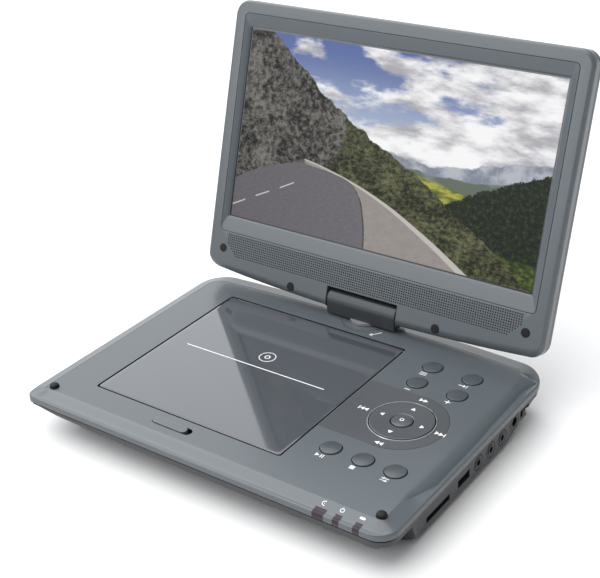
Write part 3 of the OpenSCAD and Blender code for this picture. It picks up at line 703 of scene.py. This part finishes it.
def upper_case():
    shell = Shell()
    outside = [level(2.2, seam_z + 0.2), level(0.25, seam_z + 0.2), level(0, seam_z + 0.45)]
    outside += [level(rounding(d), lambda m, drop=drop: rim_z(m) - rounding(drop)(m))
                for d, drop in ((0, 1), (0.08, 0.6), (0.3, 0.25), (0.62, 0.07))]
    outside += [level(between(rounding(0.95), crease_inset, t), slope(t))
                for t in (0, 0.12, 0.2, 0.3, 0.5, 0.7, 0.85)]
    low, last = shell.stack(outside)
    edge = shell.ring(level(lower_by(crease_inset, 0.22), slope(1)))
    crease = shell.ring(level(crease_inset, lambda m: slope(1)(m) - line_depth(m)))
    shell.band(last, edge)
    shell.band(edge, crease)
    previous = crease
    for t in (0.1, 0.2, 0.32, 0.5, 0.7, 0.85, 1):
        ring = shell.ring(level(between(crease_inset, deck_inset, t), gutter(t) if t < 1 else deck_z))
        shell.band(previous, ring)
        previous = ring
    for i, m in enumerate(BASE):
        after = (i + 1) % len(BASE)
        shell.creases.append((previous[i], previous[after]))
        if softness(m) < 0.35:
            shell.creases.append((crease[i], crease[after]))
    inner = [cut_in(2.2, 2.2, 2.2, 2.2, 21)] + [cut_in(11.5, 2.2, 9, 11.5, z) for z in (21.1, deck_under)]
    inner_lip, under = shell.stack(inner)
    shell.band(low, inner_lip)
    tops = []
    bottoms = []
    soft = 0.2
    # The walls of the holes round the lid, pad, slider and keys take the near-black second material: painted
    # shade in the holes.
    for loop in HOLES.values():
        rings = [flat(grown(loop, soft), deck_z), flat(grown(loop, soft * 0.3), deck_z - soft * 0.3)]
        top, lip = shell.stack(rings)
        wall, bottom = shell.stack([flat(loop, deck_z - soft), flat(loop, deck_under)], 1)
        shell.band(lip, wall, 1)
        tops.append(top)
        bottoms.append(bottom)
    shell.fill(previous, tops)
    shell.fill(under, bottoms)
    return shell.piece("upper_case_shell", "base", "body_plastic", [body_grey, seam_shade_and_line],
                       stands_for=["upper_case"])


# ---- Lower case ----

port_front, port_rear = -86, 45


def knee(m):
    """Height at which the wall of the lower case starts to slope in."""
    if m.nx > 0.3:
        ahead = min(1, max(0, (port_front + 2 - m.y) / 8))
        nose = math.sqrt(1 - ahead ** 2)
        behind = 1 - ease(8, 52, m.y)
        return mix(14.9, 3.4, min(nose, behind))
    return follow([(-half_w, 17.6), (-98, 15.4), (-60, 14.8), (0, 14.4), (60, 14.2)], m.x)


def tub_inset(share):
    """How far in the lower case is, at a share of the way down its slope."""
    def value(m):
        wall = 1.0
        if m.nx > 0.3:
            by_the_ports = ease(port_front - 6, port_front, m.y) * (1 - ease(port_rear, port_rear + 6, m.y))
            wall = mix(1.0, 1.7, by_the_ports)
        return wall + 1.25 * (knee(m) - 2.1) * share
    return value


def knee_height(share):
    return lambda m: mix(knee(m), 2.1, share)


def lower_case():
    shell = Shell()
    rings = [
        level(tub_inset(0), seam_z - 1.0), level(tub_inset(0), lambda m: mix(seam_z - 1.0, knee(m), 0.5)),
        level(tub_inset(0), lower_by(knee, -0.5)), level(tub_inset(0.06), knee_height(0.04)),
        level(tub_inset(0.5), knee_height(0.5)), level(tub_inset(0.93), knee_height(0.95)),
        level(tub_inset(1.0), 2.1),
    ]
    # A groove under the seam, lined with the near-black second material: painted shade in the gap between the
    # cases.
    groove = ((3.4, 0.2), (2.4, 0.2), (2.4, 1.0))
    first, neck = shell.stack([level(inset, seam_z - drop) for inset, drop in groove], 1)
    wall, bottom = shell.stack(rings)
    shell.band(neck, wall, 1)
    inner_top, inner = shell.stack([level(3.4, 15.5), level(17.5, 4.4)])
    shell.band(first, inner_top)
    shell.cap(bottom)
    shell.cap(inner)
    obj = shell.piece("lower_case_shell", "base", "case_plastic", [case_grey, seam_shade_and_line],
                      stands_for=["lower_case"])
    cut_ports(obj)
    return obj


SCREWS = [(-104, -99), (60, -101), (-104, 50), (-45, 51), (45, 51), (106, 51)]
# openings in the side wall: middle in y and z, then half the width and height, or the bore and its groove
BOX_PORTS = [(-65.65, 8.7, 12.15, 1.8), (-37.95, 10.5, 6.8, 3.1), (34.3, 13.2, 5.3, 2.2)]
JACKS = ("headphone_jack", "av_output_jack", "av_input_jack")
ROUND_PORTS = [(centre(name).y, 11.0, 3.25, 4.5) for name in JACKS]
ROUND_PORTS.append((21.6, 12.9, 3.75, 4.9))
ALONG_X = Matrix(((0, 0, 1, 0), (1, 0, 0, 0), (0, 1, 0, 0), (0, 0, 0, 1)))   # turned parts laid along +X


def box_shell(low, high):
    shell = Shell()
    outline = [(low[0], low[1]), (high[0], low[1]), (high[0], high[1]), (low[0], high[1])]
    a, b = shell.stack([flat(outline, low[2]), flat(outline, high[2])])
    shell.cap(a)
    shell.cap(b)
    return shell


def cutters():
    """What is cut from the lower case: the openings in its side wall and the wells of its screws."""
    wall_in, groove_in, outside = 115, 123.4, 130
    made = []
    for y, z, half_y, half_z in BOX_PORTS:
        box = box_shell((wall_in, y - half_y, z - half_z), (outside, y + half_y, z + half_z))
        made.append((box, UPRIGHT))
    for y, z, bore, groove in ROUND_PORTS:
        profile = [(0, wall_in), (bore, wall_in), (bore, outside), (0, outside)]
        made.append((turned(profile, (y, z), 40), ALONG_X))
        wide = groove + 0.5
        loop = [(groove, groove_in), (wide, groove_in), (wide, outside), (groove, outside)]
        made.append((hollow_turned(loop, (y, z), 48), ALONG_X))
    for spot in SCREWS:
        made.append((turned([(0, -1), (3.1, -1), (3.1, 5.1), (0, 5.1)], spot, 32), UPRIGHT))
    return made


def cut_ports(obj):
    bpy.context.view_layer.update()
    for shell, place in cutters():
        cutter = shell.build("cutter", place)
        cut = obj.modifiers.new("cut", "BOOLEAN")
        cut.operation = "DIFFERENCE"
        cut.solver = "EXACT"
        cut.object = cutter
        obj.modifiers.move(obj.modifiers.find(cut.name), 0)
        with bpy.context.temp_override(object=obj, active_object=obj):
            bpy.ops.object.modifier_apply(modifier=cut.name)
        bpy.data.objects.remove(cutter)


# ---- Lid, slider and keys ----

def lid():
    shell = Shell()

    def ring(inset, z):
        low = (lid_low.x + inset, lid_low.y + inset)
        high = (lid_high.x - inset, lid_high.y - inset)
        return flat(rounded(low, high, lid_corner), z)

    side = [(0.6, 2.5), (0.3, 1.9), (0.3, 0.5), (0.4, 0.3), (0.6, 0.22)]
    border = [(1.5, 0.15), (1.65, 0.11), (1.9, 0.1)]
    # The lid's sides take the near-black second material: painted shade in the gap round the lid.
    first, edge = shell.stack([ring(inset, deck_z - drop) for inset, drop in side], 1)
    rise, last = shell.stack([ring(inset, deck_z - drop) for inset, drop in border])
    shell.band(edge, rise)
    shell.fill(last)
    shell.fill(first)
    shell.piece("disc_lid_shell", "lid", "lid_gloss", [lid_grey, seam_shade_and_line], stands_for=["disc_lid"])
    hook = box_shell((-31, lid_low.y + 0.4, lid_low.z), (-23, lid_low.y + 2, deck_z - 2.4))
    hook.plain("lid_hook", "lid", "lid_gloss", lid_grey)
    left, right = lid_low.x + 6, lid_high.x - 6
    barrel = turned([(0, left), (1.2, left), (1.2, right), (0, right)], (lid_high.y - 1.25, deck_z - 1.3), 24)
    barrel.piece("lid_barrel", "lid", "lid_gloss", [lid_grey], place=ALONG_X)
    print_z = (deck_z - 0.12, deck_z - 0.06)
    stripe = plate(rounded((-79, -24.45), (24.2, -23.75), 0.34, 4), *print_z)
    tip = Matrix.Translation((-27, -24, 0)) @ Matrix.Rotation(0.006, 4, "Z") @ Matrix.Translation((27, 24, 0))
    stripe.plain("lid_stripe", "lid", "white_plastic", white_print, place=tip)
    at = (-26, -11.5)
    for name, r, hole, count in (("lid_disc_mark", 5.4, 4.9, 64), ("lid_hub_mark", 1.9, 1.3, 40)):
        mark = plate(circle(at, r, count), *print_z, [circle(at, hole, count)])
        mark.plain(name, "lid", "white_plastic", white_print)


def slider():
    at = (slider_hole.x - 1.5, slider_hole.y)
    half_x, half_y = 12.3, 2.7
    shell = Shell()

    def ring(inset, z):
        a = (at[0] - half_x + inset, at[1] - half_y + inset)
        b = (at[0] + half_x - inset, at[1] + half_y - inset)
        return flat(rounded(a, b, half_y - inset - 0.01, 8), z)

    first, last = shell.stack([
        ring(0, deck_z - 2.4), ring(0, deck_z + 0.25), ring(0.15, deck_z + 0.5), ring(0.5, deck_z + 0.62),
        ring(1.0, deck_z + 0.62),
    ])
    shell.fill(first)
    shell.fill(last)
    shell.piece("open_slider_knob", "open_slider", "key_plastic", [body_grey], stands_for=["open_slider"])
    foot = box_shell((at[0] - 16.5, at[1] - 3.7, 22.5), (at[0] + 16.5, at[1] + 3.7, 23.3))
    foot.plain("open_slider_plate", "open_slider", "key_plastic", black_plastic)


def key_caps():
    for name in KEYS:
        top = corners(name)[1].z - 0.3
        r = 6.0
        low, high = deck_under - 1.1, deck_under - 0.1
        profile = [(0, 21.4), (2, 21.4), (2, low), (r + 1, low), (r + 1, high), (r, high), (r, top - 0.85)]
        profile += arc((r - 0.5, top - 0.85), 0.5, 0, 90, 5)[1:]
        profile += [(r - 1.2, top - 0.3), (r * 0.6, top - 0.14), (r * 0.3, top - 0.04), (0, top)]
        cap = turned(profile, centre(name), 64)
        cap.piece(name + "_cap", name, "key_plastic", [key_grey], stands_for=[name])


def dpad_pieces():
    top = corners("dpad_ring")[1].z
    r = 18.5
    inner = 6.6
    loop = [(inner, 21.6), (r + 1.1, 21.6), (r + 1.1, 22.2), (r, 22.2), (r, top - 0.5)]
    loop += arc((r - 0.5, top - 0.5), 0.5, 0, 90, 5)[1:]
    loop += [(r - 2.2, top - 0.06), (inner + 4, top - 0.5), (inner + 0.9, top - 0.5)]
    loop += [(inner + 0.3, top - 0.6), (inner, top - 0.95)]
    ring = hollow_turned(loop, dpad)
    ring.piece("dpad_ring_cap", "dpad_ring", "key_plastic", [panel_grey], stands_for=["dpad_ring"])
    high = corners("button_enter")[1].z
    e = 6.1
    profile = [(0, 19.5), (3, 19.5), (3, 22.4), (e, 22.4), (e, high - 1.0)]
    profile += arc((e - 0.5, high - 1.0), 0.5, 0, 90, 5)[1:]
    profile += [(e * 0.6, high - 0.2), (0, high)]
    enter = turned(profile, dpad, 64)
    enter.piece("button_enter_cap", "button_enter", "key_plastic", [panel_grey], stands_for=["button_enter"])
    inside, outside = 18.95, 19.6
    low, high = deck_z - 1.2, deck_z + 0.4
    hoop = hollow_turned([(inside, low), (outside, low), (outside, high - 0.18), (outside - 0.15, high),
                          (inside + 0.15, high), (inside, high - 0.18)], dpad)
    hoop.piece("dpad_bright_ring", "base", "steel", [bright_metal])


def dpad_panel():
    """The darker printed area that runs from the lid to a half circle round the pad."""
    r = 27.8
    middle = (78, dpad.y)
    left = lid_high.x + 1.2
    bend = arc(middle, r, -90, 180, 48)
    low, high = deck_z - 0.03, deck_z + 0.03
    skin = plate(bend + [(left, dpad.y + r), (left, dpad.y - r)], low, high, [circle(dpad, 19.55, 96)])
    skin.plain("dpad_panel", "base", "lid_gloss", panel_grey)
    line = plate(arc(middle, r + 0.28, -90, 180, 48) + bend[::-1], low, deck_z + 0.025)
    line.plain("dpad_panel_line", "base", "black_plastic", seam_shade_and_line)


# ---- Printed symbols ----

def print_on(name, body, outlines, z, at=(0, 0), turn=0.0, size=1.0, lean=0.0, thick=0.035):
    """White printing: flat shapes given round (0, 0), placed on a surface at height z that leans back."""
    place = Matrix.Translation((at[0], at[1], z)) @ Matrix.Rotation(math.radians(lean), 4, "X")
    place = place @ Matrix.Rotation(math.radians(turn), 4, "Z")
    shell = Shell()
    for outline in outlines:
        points = [(x * size, y * size) for x, y in outline]
        low, high = shell.stack([flat(points, -0.02), flat(points, thick)])
        shell.fill(low)
        shell.fill(high)
    shell.plain(name, body, "white_plastic", white_print, place=place)


def bar(x0, y0, x1, y1):
    return [(x0, y0), (x1, y0), (x1, y1), (x0, y1)]


ARROW = [(-0.9, -1.0), (0.9, 0), (-0.9, 1.0)]
SKIP = [[(-1.9, -1.1), (0, 0), (-1.9, 1.1)], [(0, -1.1), (1.9, 0), (0, 1.1)]]


def symbols():
    ring_top = corners("dpad_ring")[1].z - 0.28
    for name, turn in (("right", 0), ("up", 90), ("left", 180), ("down", 270)):
        a = math.radians(turn)
        at = (dpad.x + 13.1 * math.cos(a), dpad.y + 13.1 * math.sin(a))
        print_on("print_arrow_" + name, "dpad_ring", [ARROW], ring_top, at, turn, 1.5)
    enter_top = corners("button_enter")[1].z
    print_on("print_enter", "button_enter", [circle((0, 0), 1.3, 32)], enter_top - 0.08, dpad)
    reach = 24.3
    end = [*SKIP, bar(2.0, -1.1, 2.45, 1.1)]
    for name, shapes, dx, dy, turn in (
            ("forward", SKIP, 0, reach, 0), ("rewind", SKIP, 0, -reach, 180),
            ("next", end, reach - 0.4, 0, 0), ("previous", end, -reach - 0.6, 0, 180)):
        print_on("print_" + name, "base", shapes, deck_z + 0.03, (dpad.x + dx, dpad.y + dy), turn, 1.4)
    below = 9.4
    marks = {
        "button_menu": [bar(-1.6, -1.1, 1.6, -0.8), bar(-1.6, -0.2, 1.6, 0.1), bar(-1.6, 0.7, 1.6, 1.0)],
        "button_source": [[(-2, -0.2), (0.2, -0.2), (0.2, -0.9), (1.4, 0), (0.2, 0.9), (0.2, 0.2), (-2, 0.2)],
                          bar(1.7, -1.1, 2.0, 1.1)],
        "button_volume_down": [bar(-1.3, -0.2, 1.3, 0.2)],
        "button_volume_up": [bar(-1.3, -0.2, 1.3, 0.2), bar(-0.2, 0.21, 0.2, 1.3),
                             bar(-0.2, -1.3, 0.2, -0.21)],
        "button_play": [[(-1.9, -1.0), (-0.1, 0), (-1.9, 1.0)], bar(0.4, -1, 0.8, 1), bar(1.3, -1, 1.7, 1)],
        "button_stop": [bar(-1.0, -1.0, 1.0, 1.0)],
        "button_setup": [bar(-1.6, 0.5, 1.6, 0.8), bar(-1.6, -0.8, 1.6, -0.5), bar(-0.9, 0.1, -0.3, 1.2),
                         bar(0.4, -1.2, 1.0, -0.1)],
    }
    for node, shapes in marks.items():
        c = centre(node)
        print_on("print_" + node[7:], "base", shapes, deck_z, (c.x - 1.5, c.y - below + 0.6), 0, 1.4)
    turn_arrow()
    window_icons()


def turn_arrow():
    """A curved arrow on the deck beside the hinge, for the way the screen turns."""
    r = 20.5
    tail = arc((0, 0), r, -52, 24, 12) + arc((0, 0), r - 0.55, -28, -24, 12)
    x, y = arc((0, 0), r - 0.3, -52, 0, 1)[0]
    wings = [
        [(x, y), (x + 2.6, y - 0.3), (x + 2.6, y + 0.35)],
        [(x, y), (x + 1.2, y + 2.3), (x + 0.5, y + 2.5)],
    ]
    print_on("print_turn", "base", [tail, *wings], deck_z, swivel)


def open_hoop(outer, inner, first, last, count=28):
    """A ring with a gap, that runs from one step of a circle to another."""
    steps = [k % count for k in range(first, last)]
    far, near = (circle((0, 0), r, count) for r in (outer, inner))
    return [far[k] for k in steps] + [near[k] for k in steps[::-1]]


def window_icons():
    signs = {
        "ir_window": [open_hoop(1.5, 1.1, 5, 24), bar(-0.2, -0.2, 0.2, 0.2)],
        "power_lens": [open_hoop(1.3, 0.95, 9, 34), bar(-0.18, 0.3, 0.18, 1.6)],
        "charge_lens": [bar(-1.5, -0.7, 1.3, 0.7), bar(1.35, -0.3, 1.7, 0.3)],
    }
    for name, shapes in signs.items():
        print_on("print_" + name, "base", shapes, deck_z - 0.98, (centre(name).x, front_y + 7.0), lean=21.5)


# ---- Front windows and small parts of the base ----

def windows():
    """Tinted lenses that wrap over the front rim."""
    thick = 0.8
    outer = [(front_y + d, z) for d, z in front_profile()]
    loop = outer + [(y + thick, z - thick) for y, z in reversed(outer)]
    for name in ("ir_window", "power_lens", "charge_lens"):
        low, high = corners(name)
        shell = Shell()
        left, right = (shell.ring([(x, y, z) for y, z in loop]) for x in (low.x, high.x))
        shell.band(left, right)
        for end in (left, right):
            for i in range(len(outer) - 1):
                shell.faces.append(((end[i], end[i + 1], end[-2 - i], end[-1 - i]), 0))
        shell.plain(name + "_skin", "base", "tinted_window", tinted, stands_for=[name], sharp=60)


def front_profile():
    """Section of the front rim, a hair proud of the case: distance behind the front face, and height."""
    rim = deck_z - 2.7
    out = 0.05
    points = [(-out, seam_z + 0.5), (-out, rim - 1.0), (0.08 - out, rim - 0.6 + out)]
    points += [(0.3 - out, rim - 0.25 + out), (0.62, rim - 0.07 + out)]
    for t in (0, 0.12, 0.2, 0.3, 0.38):
        points.append((mix(0.95, 9.5, t), mix(rim, deck_z, max(0, (t - 0.2) / 0.8)) + out))
    return points


def bumpers():
    for k, x in enumerate((-114.4, 114.4)):
        z = corners("base_bumpers")[1].z
        base_z = 22.8
        profile = [(0, base_z), (2.75, base_z), (2.75, z - 1.3)]
        profile += [(2.6, z - 0.85), (2.2, z - 0.45), (1.6, z - 0.2), (0.8, z - 0.05), (0, z)]
        knob = turned(profile, (x, -104.9), 40)
        knob.piece(f"base_bumper_{k}", "base", "rubber", [rubber_black],
                   stands_for=["base_bumpers"] if k == 0 else ())
        # A near-black collar round each bumper: painted shade in the gap round it.
        seat = hollow_turned([(2.8, 24), (3.1, 24), (3.1, 26.02), (2.8, 26.02)], (x, -104.9), 40)
        seat.plain(f"bumper_seat_{k}", "base", "black_plastic", seam_shade_and_line)


def swivel_ring():
    # A near-black line round the swivel's disc: painted shade at its edge.
    ring = hollow_turned([(15.3, deck_z - 0.03), (15.62, deck_z - 0.03), (15.62, deck_z + 0.02),
                          (15.3, deck_z + 0.02)], swivel, 96)
    ring.plain("swivel_circle", "base", "black_plastic", seam_shade_and_line)


def hinge_block():
    """The swivel block: a round barrel over a square foot, with softly rounded ends."""
    half = 25.5
    r = 7.0
    cy, cz = swivel.y, tilt.z
    low = 27.05

    def section(inset):
        points = arc((cy, cz), r - inset, 0, 180, 28)
        foot = 0.8
        for sign, start in ((-1, 180), (1, 270)):
            points += arc((cy + sign * (r - inset - foot), low + inset + foot), foot, start, 90, 4)
        return points

    shell = Shell()
    edge = 0.7
    stations = [(-half, edge), (-half + 0.2, 0.28), (-half + edge, 0)]
    stations += [(-x, inset) for x, inset in reversed(stations)]
    rings = [[(x, y, z) for y, z in section(inset)] for x, inset in stations]
    first, last = shell.stack(rings)
    shell.cap(first)
    shell.cap(last)
    shell.piece("swivel_block_shell", "swivel", "gunmetal", [gunmetal], stands_for=["swivel_block"], sharp=50)


# ---- Screen ----

SCREEN = Matrix.Translation(tilt) @ Matrix.Rotation(math.radians(-17.16), 4, "X") @ Matrix.Rotation(
    math.radians(90), 4, "X")
# in the screen's own frame x runs across, y up the housing and z out of its face
screen_hw = 124.7
screen_top = 177.7
screen_low = -1.5
screen_bow = 4.8
screen_r = 10
notch_x, notch_y = 26, 7.7
face = 7.0
seam = -1.0
back = -6.5
lcd_x, lcd_low, lcd_high = 111.35, 35.7, 160.96
frame_x, frame_low, frame_high = 116.2, 25.3, 169.6
COVERS = [(-112.2, 13.35), (-54.2, 0.3), (54.2, 0.3), (112.2, 13.35)]


def notch_side(foot, side):
    """Marks up the notch's left side, or down its right side."""
    marks = [(share, 0 if 0 < share < 1 else -1) for share in (0, 0.25, 0.5, 0.75, 1)]
    marks = [Mark(side * notch_x, mix(foot, notch_y, share), -side, ny) for share, ny in marks]
    return marks[::-side]


def screen_outline():
    """Marks of the housing's front view. The notch's corners carry both of their sides' normals."""
    hx = screen_hw - screen_r
    low = screen_low + screen_r
    high = screen_top - screen_r

    def bowed_low(a, b, count):
        return bowed(run((a, screen_low), (b, screen_low), count), screen_bow, hx, -1)

    marks = marks_on(bowed_low(-hx, -notch_x, 30), (0, -1))
    foot = screen_low - screen_bow * (1 - (notch_x / hx) ** 2)
    marks += notch_side(foot, -1)
    marks += marks_on(run((-notch_x + 2, notch_y), (notch_x, notch_y), 13), (0, -1))
    marks += notch_side(foot, 1)
    marks += marks_on(bowed_low(notch_x, hx, 30)[1:], (0, -1))
    marks += corner(hx, low, screen_r, -90, 16)
    marks += marks_on(run((screen_hw, low), (screen_hw, high), 30), (1, 0))
    marks += corner(hx, high, screen_r, 0, 16)
    marks += marks_on(run((hx, screen_top), (-hx, screen_top), 40), (0, 1))
    marks += corner(-hx, high, screen_r, 90, 16)
    marks += marks_on(run((-screen_hw, high), (-screen_hw, low), 30), (-1, 0))
    marks += corner(-hx, low, screen_r, 180, 16)
    return marks


FRONT_VIEW = screen_outline()


def in_notch(m):
    return abs(m.x) < notch_x + 0.01 and m.y < notch_y + 0.01


def drawn_in(inset, z):
    """A level ring of the screen housing."""
    return [(m.x - m.nx * inset, m.y - m.ny * inset, z) for m in FRONT_VIEW]


def housing(rounds, z_from, z_to, steps=7):
    """Rings of a housing half whose rim rolls over from z_from towards z_to.

    rounds gives how far the rolled edge reaches in, and how deep it is, on each kind of edge.
    """
    way = 1 if z_to > z_from else -1

    def ring(share):
        reach = 1 - math.cos(share * math.pi / 2)
        drop = way * (1 - math.sin(share * math.pi / 2))
        points = []
        for m in FRONT_VIEW:
            over_notch = in_notch(m) and m.y > notch_y - 0.01
            in_x, deep_x = rounds["notch" if in_notch(m) else "side"]
            in_y, deep_y = rounds["notch" if over_notch else "top" if m.ny > 0 else "bottom"]
            deep = (m.nx ** 2 * deep_x + m.ny ** 2 * deep_y) / (m.nx ** 2 + m.ny ** 2)
            points.append((m.x - m.nx * in_x * reach, m.y - m.ny * in_y * reach, z_to - drop * deep))
        return points

    edge = [drawn_in(d, z_from + way * h) for d, h in ((1.9, 0.12), (0.35, 0.12), (HAIR, 0.42))]
    return edge + [ring(k / steps) for k in range(steps + 1)]


def grille_holes():
    """Places of the speaker holes: a square grid whose lower rows end further in."""
    pitch = 1.55
    places = []
    for row in range(10):
        reach = 110 - pitch * max(0, 5 - row)
        count = int(reach / pitch)
        places += [(pitch * k, 9.6 + pitch * row) for k in range(-count, count + 1)]
    return places


def bezel():
    shell = Shell()
    rounds = {"side": (2.4, 2.6), "top": (2.0, 2.4), "bottom": (6.2, 5.4), "notch": (0.5, 0.5)}
    first, last = shell.stack(housing(rounds, seam, face))
    holes = []
    # Each speaker hole is a pit lined with the near-black second material: painted shade in the hole.
    for x, y in grille_holes():
        rings = [flat(circle((x, y), r, 8, 0.5), z) for r, z in ((0.46, face), (0.42, face - 1.1))]
        top, low = shell.stack(rings, 1)
        shell.cap(low, 1)
        holes.append(top)

    def box_ring(grow, z, r):
        return flat(rounded((-frame_x - grow, frame_low - grow), (frame_x + grow, frame_high + grow), r), z)

    def lcd_ring(grow, z, r):
        return flat(rounded((-lcd_x - grow, lcd_low - grow), (lcd_x + grow, lcd_high + grow), r), z)

    groove = [box_ring(0.35, face, 3.3), box_ring(0.2, face - 0.12, 3.2), box_ring(0.16, face - 0.7, 3.2)]
    groove_top, groove_low = shell.stack(groove)
    groove_in, window = shell.stack([
        box_ring(-0.12, face - 0.7, 2.9), box_ring(-0.14, face - 0.12, 2.9), box_ring(-0.4, face - 0.02, 2.8),
        lcd_ring(1.3, face - 0.95, 1.2), lcd_ring(0.95, face - 1.15, 1.0), lcd_ring(0, face - 1.9, 0.5),
        lcd_ring(0, 4.6, 0.5),
    ])
    # The groove's floor takes the near-black material: painted shade in the groove.
    shell.band(groove_low, groove_in, 1)
    shell.fill(last, [groove_top, *holes])
    # the inside of the bezel, closed behind the picture
    inner_high = shell.ring(drawn_in(1.9, 4.6))
    shell.band(first, inner_high)
    shell.fill(inner_high, [window])
    shell.piece("screen_bezel_shell", "screen", "body_plastic", [body_grey, hole_shade], place=SCREEN,
                stands_for=["screen_bezel"], sharp=42)


def back_cover():
    shell = Shell()
    rounds = {"side": (3.4, 3.6), "top": (3.2, 3.6), "bottom": (5.0, 4.2), "notch": (0.5, 0.5)}
    first, last = shell.stack(housing(rounds, seam, back))
    shell.fill(last)
    inner = shell.ring(drawn_in(1.9, back + 1.6))
    shell.band(first, inner)
    shell.fill(inner)
    shell.piece("screen_back_shell", "screen", "back_plastic", [back_grey], place=SCREEN,
                stands_for=["screen_back"], sharp=42)


def lcd():
    """The panel: dark glass with a lit picture a millimetre inside the window."""
    grow = 2.0
    glass = box_shell((-lcd_x - grow, lcd_low - grow, 2.2), (lcd_x + grow, lcd_high + grow, 4.58))
    glass.piece("lcd_glass", "screen", "lcd_glass", [dark_glass], place=SCREEN, stands_for=["lcd_panel"],
                weighted=False)
    rim = 0.9
    low = (-lcd_x + rim, lcd_low + rim)
    high = (lcd_x - rim, lcd_high - rim)
    picture = box_shell((*low, 4.5), (*high, 4.62))
    obj = picture.piece("lcd_picture", "screen", "lcd_glass", [landscape()], place=SCREEN, weighted=False)
    uv = obj.data.uv_layers.new(name="picture")
    back_to_screen = SCREEN.inverted()
    for loop in obj.data.loops:
        p = back_to_screen @ (obj.data.vertices[loop.vertex_index].co / MM)
        uv.data[loop.index].uv = ((p.x - low[0]) / (high[0] - low[0]), (p.y - low[1]) / (high[1] - low[1]))


def covers():
    for k, (x, y) in enumerate(COVERS):
        height = face + 0.3
        profile = [(0, 5.4), (2.95, 5.4), (2.95, height - 0.35), (2.8, height - 0.12)]
        profile += [(2.4, height), (0, height)]
        plug = turned(profile, (x, y), 32)
        plug.piece(f"screen_bumper_{k}", "screen", "rubber", [rubber_black], place=SCREEN,
                   stands_for=["screen_bumpers"] if k == 0 else ())


# ---- CAD nodes that keep their own shape ----

FINISHES = [
    (rubber_black, "rubber_feet chassis_grommets dpad_rocker"),
    (dull_steel, "case_screws tact_switches drive_chassis spindle_motor feed_motor swivel_retainer"),
    (dull_steel, "swivel_plate hinge_brackets screen_screws"),
    (board_green, "main_board key_board lcd_board"),
    (foil_blue, "battery_pack"),
    (well_grey, "disc_well"),
    (black_plastic, "turntable pickup_sled speaker_left speaker_right headphone_jack av_output_jack"),
    (black_plastic, "av_input_jack dc_inlet power_switch power_knob ir_receiver"),
    (bright_metal, "guide_rods lead_screw lid_pins tilt_pins"),
    (satin, "swivel_shaft"),
    # The card socket is made near-black: painted shade in its opening.
    (hole_shade, "card_socket"),
    # The USB socket is made dark gunmetal instead of bright steel: painted shade in its opening.
    (gunmetal, "usb_socket usb_tongue"),
    (led_lens, "indicator_leds"),
]


def finish_cad_nodes():
    for item, names in FINISHES:
        for name in names.split():
            materials = NODES[name].data.materials
            materials.clear()
            materials.append(item)


# ---- Camera, light and floor ----

def look():
    camera = bpy.data.cameras.new("camera")
    camera.lens = 74.105
    camera.sensor_width = 36
    heading, down, roll = 36.67, 27.78, -2.81
    place = Matrix.Translation((0.3785, -0.5182, 0.4131))
    for angle, axis in ((heading, "Z"), (90 - down, "X"), (roll, "Z")):
        place = place @ Matrix.Rotation(math.radians(angle), 4, axis)
    obj = add("camera", camera)
    obj.matrix_world = place
    bpy.context.scene.camera = obj


def room():
    """A dim room with a bright backdrop behind on the left and a lamp ahead on the left."""
    world = bpy.data.worlds.new("studio")
    world.use_nodes = True
    tree = world.node_tree
    background = tree.nodes["Background"]
    x, y, z = parts(tree, node(tree, "TexCoord").outputs["Generated"])
    backdrop = (x * -0.78 + y * 0.50 + z * 0.37).rise(0.55, 0.94)
    lamp = (x * -0.48 + y * -0.80 + z * 0.36).rise(0.93, 0.985)
    light = backdrop * 1.42 + lamp * 3.0 + 0.44
    tree.links.new(light.socket, background.inputs["Strength"])
    background.inputs["Color"].default_value = (0.97, 0.985, 1, 1)
    bpy.context.scene.world = world


def key_light():
    """One very wide, soft light from high on the left."""
    sun = bpy.data.lights.new("key", "SUN")
    sun.energy = 3.1
    sun.angle = math.radians(75)
    aim = Vector((0.38, 0.12, -1)).to_track_quat("-Z", "Y")
    add("key", sun).matrix_world = aim.to_matrix().to_4x4()


def pale_floor():
    bm = bmesh.new()
    bmesh.ops.create_circle(bm, cap_ends=True, radius=6, segments=64)
    mesh = bpy.data.meshes.new("floor")
    bm.to_mesh(mesh)
    bm.free()
    paint, _, shader = new_material("floor_white")
    shader.inputs["Base Color"].default_value = (0.82, 0.82, 0.82, 1)
    shader.inputs["Roughness"].default_value = 0.7
    shader.inputs["Specular IOR Level"].default_value = 0.2
    mesh.materials.append(paint)
    add("floor", mesh)
    bpy.context.scene.view_settings.view_transform = "Standard"


look()
room()
key_light()
pale_floor()
finish_cad_nodes()
upper_case()
lower_case()
lid()
slider()
key_caps()
dpad_pieces()
dpad_panel()
symbols()
windows()
bumpers()
swivel_ring()
hinge_block()
bezel()
back_cover()
lcd()
covers()
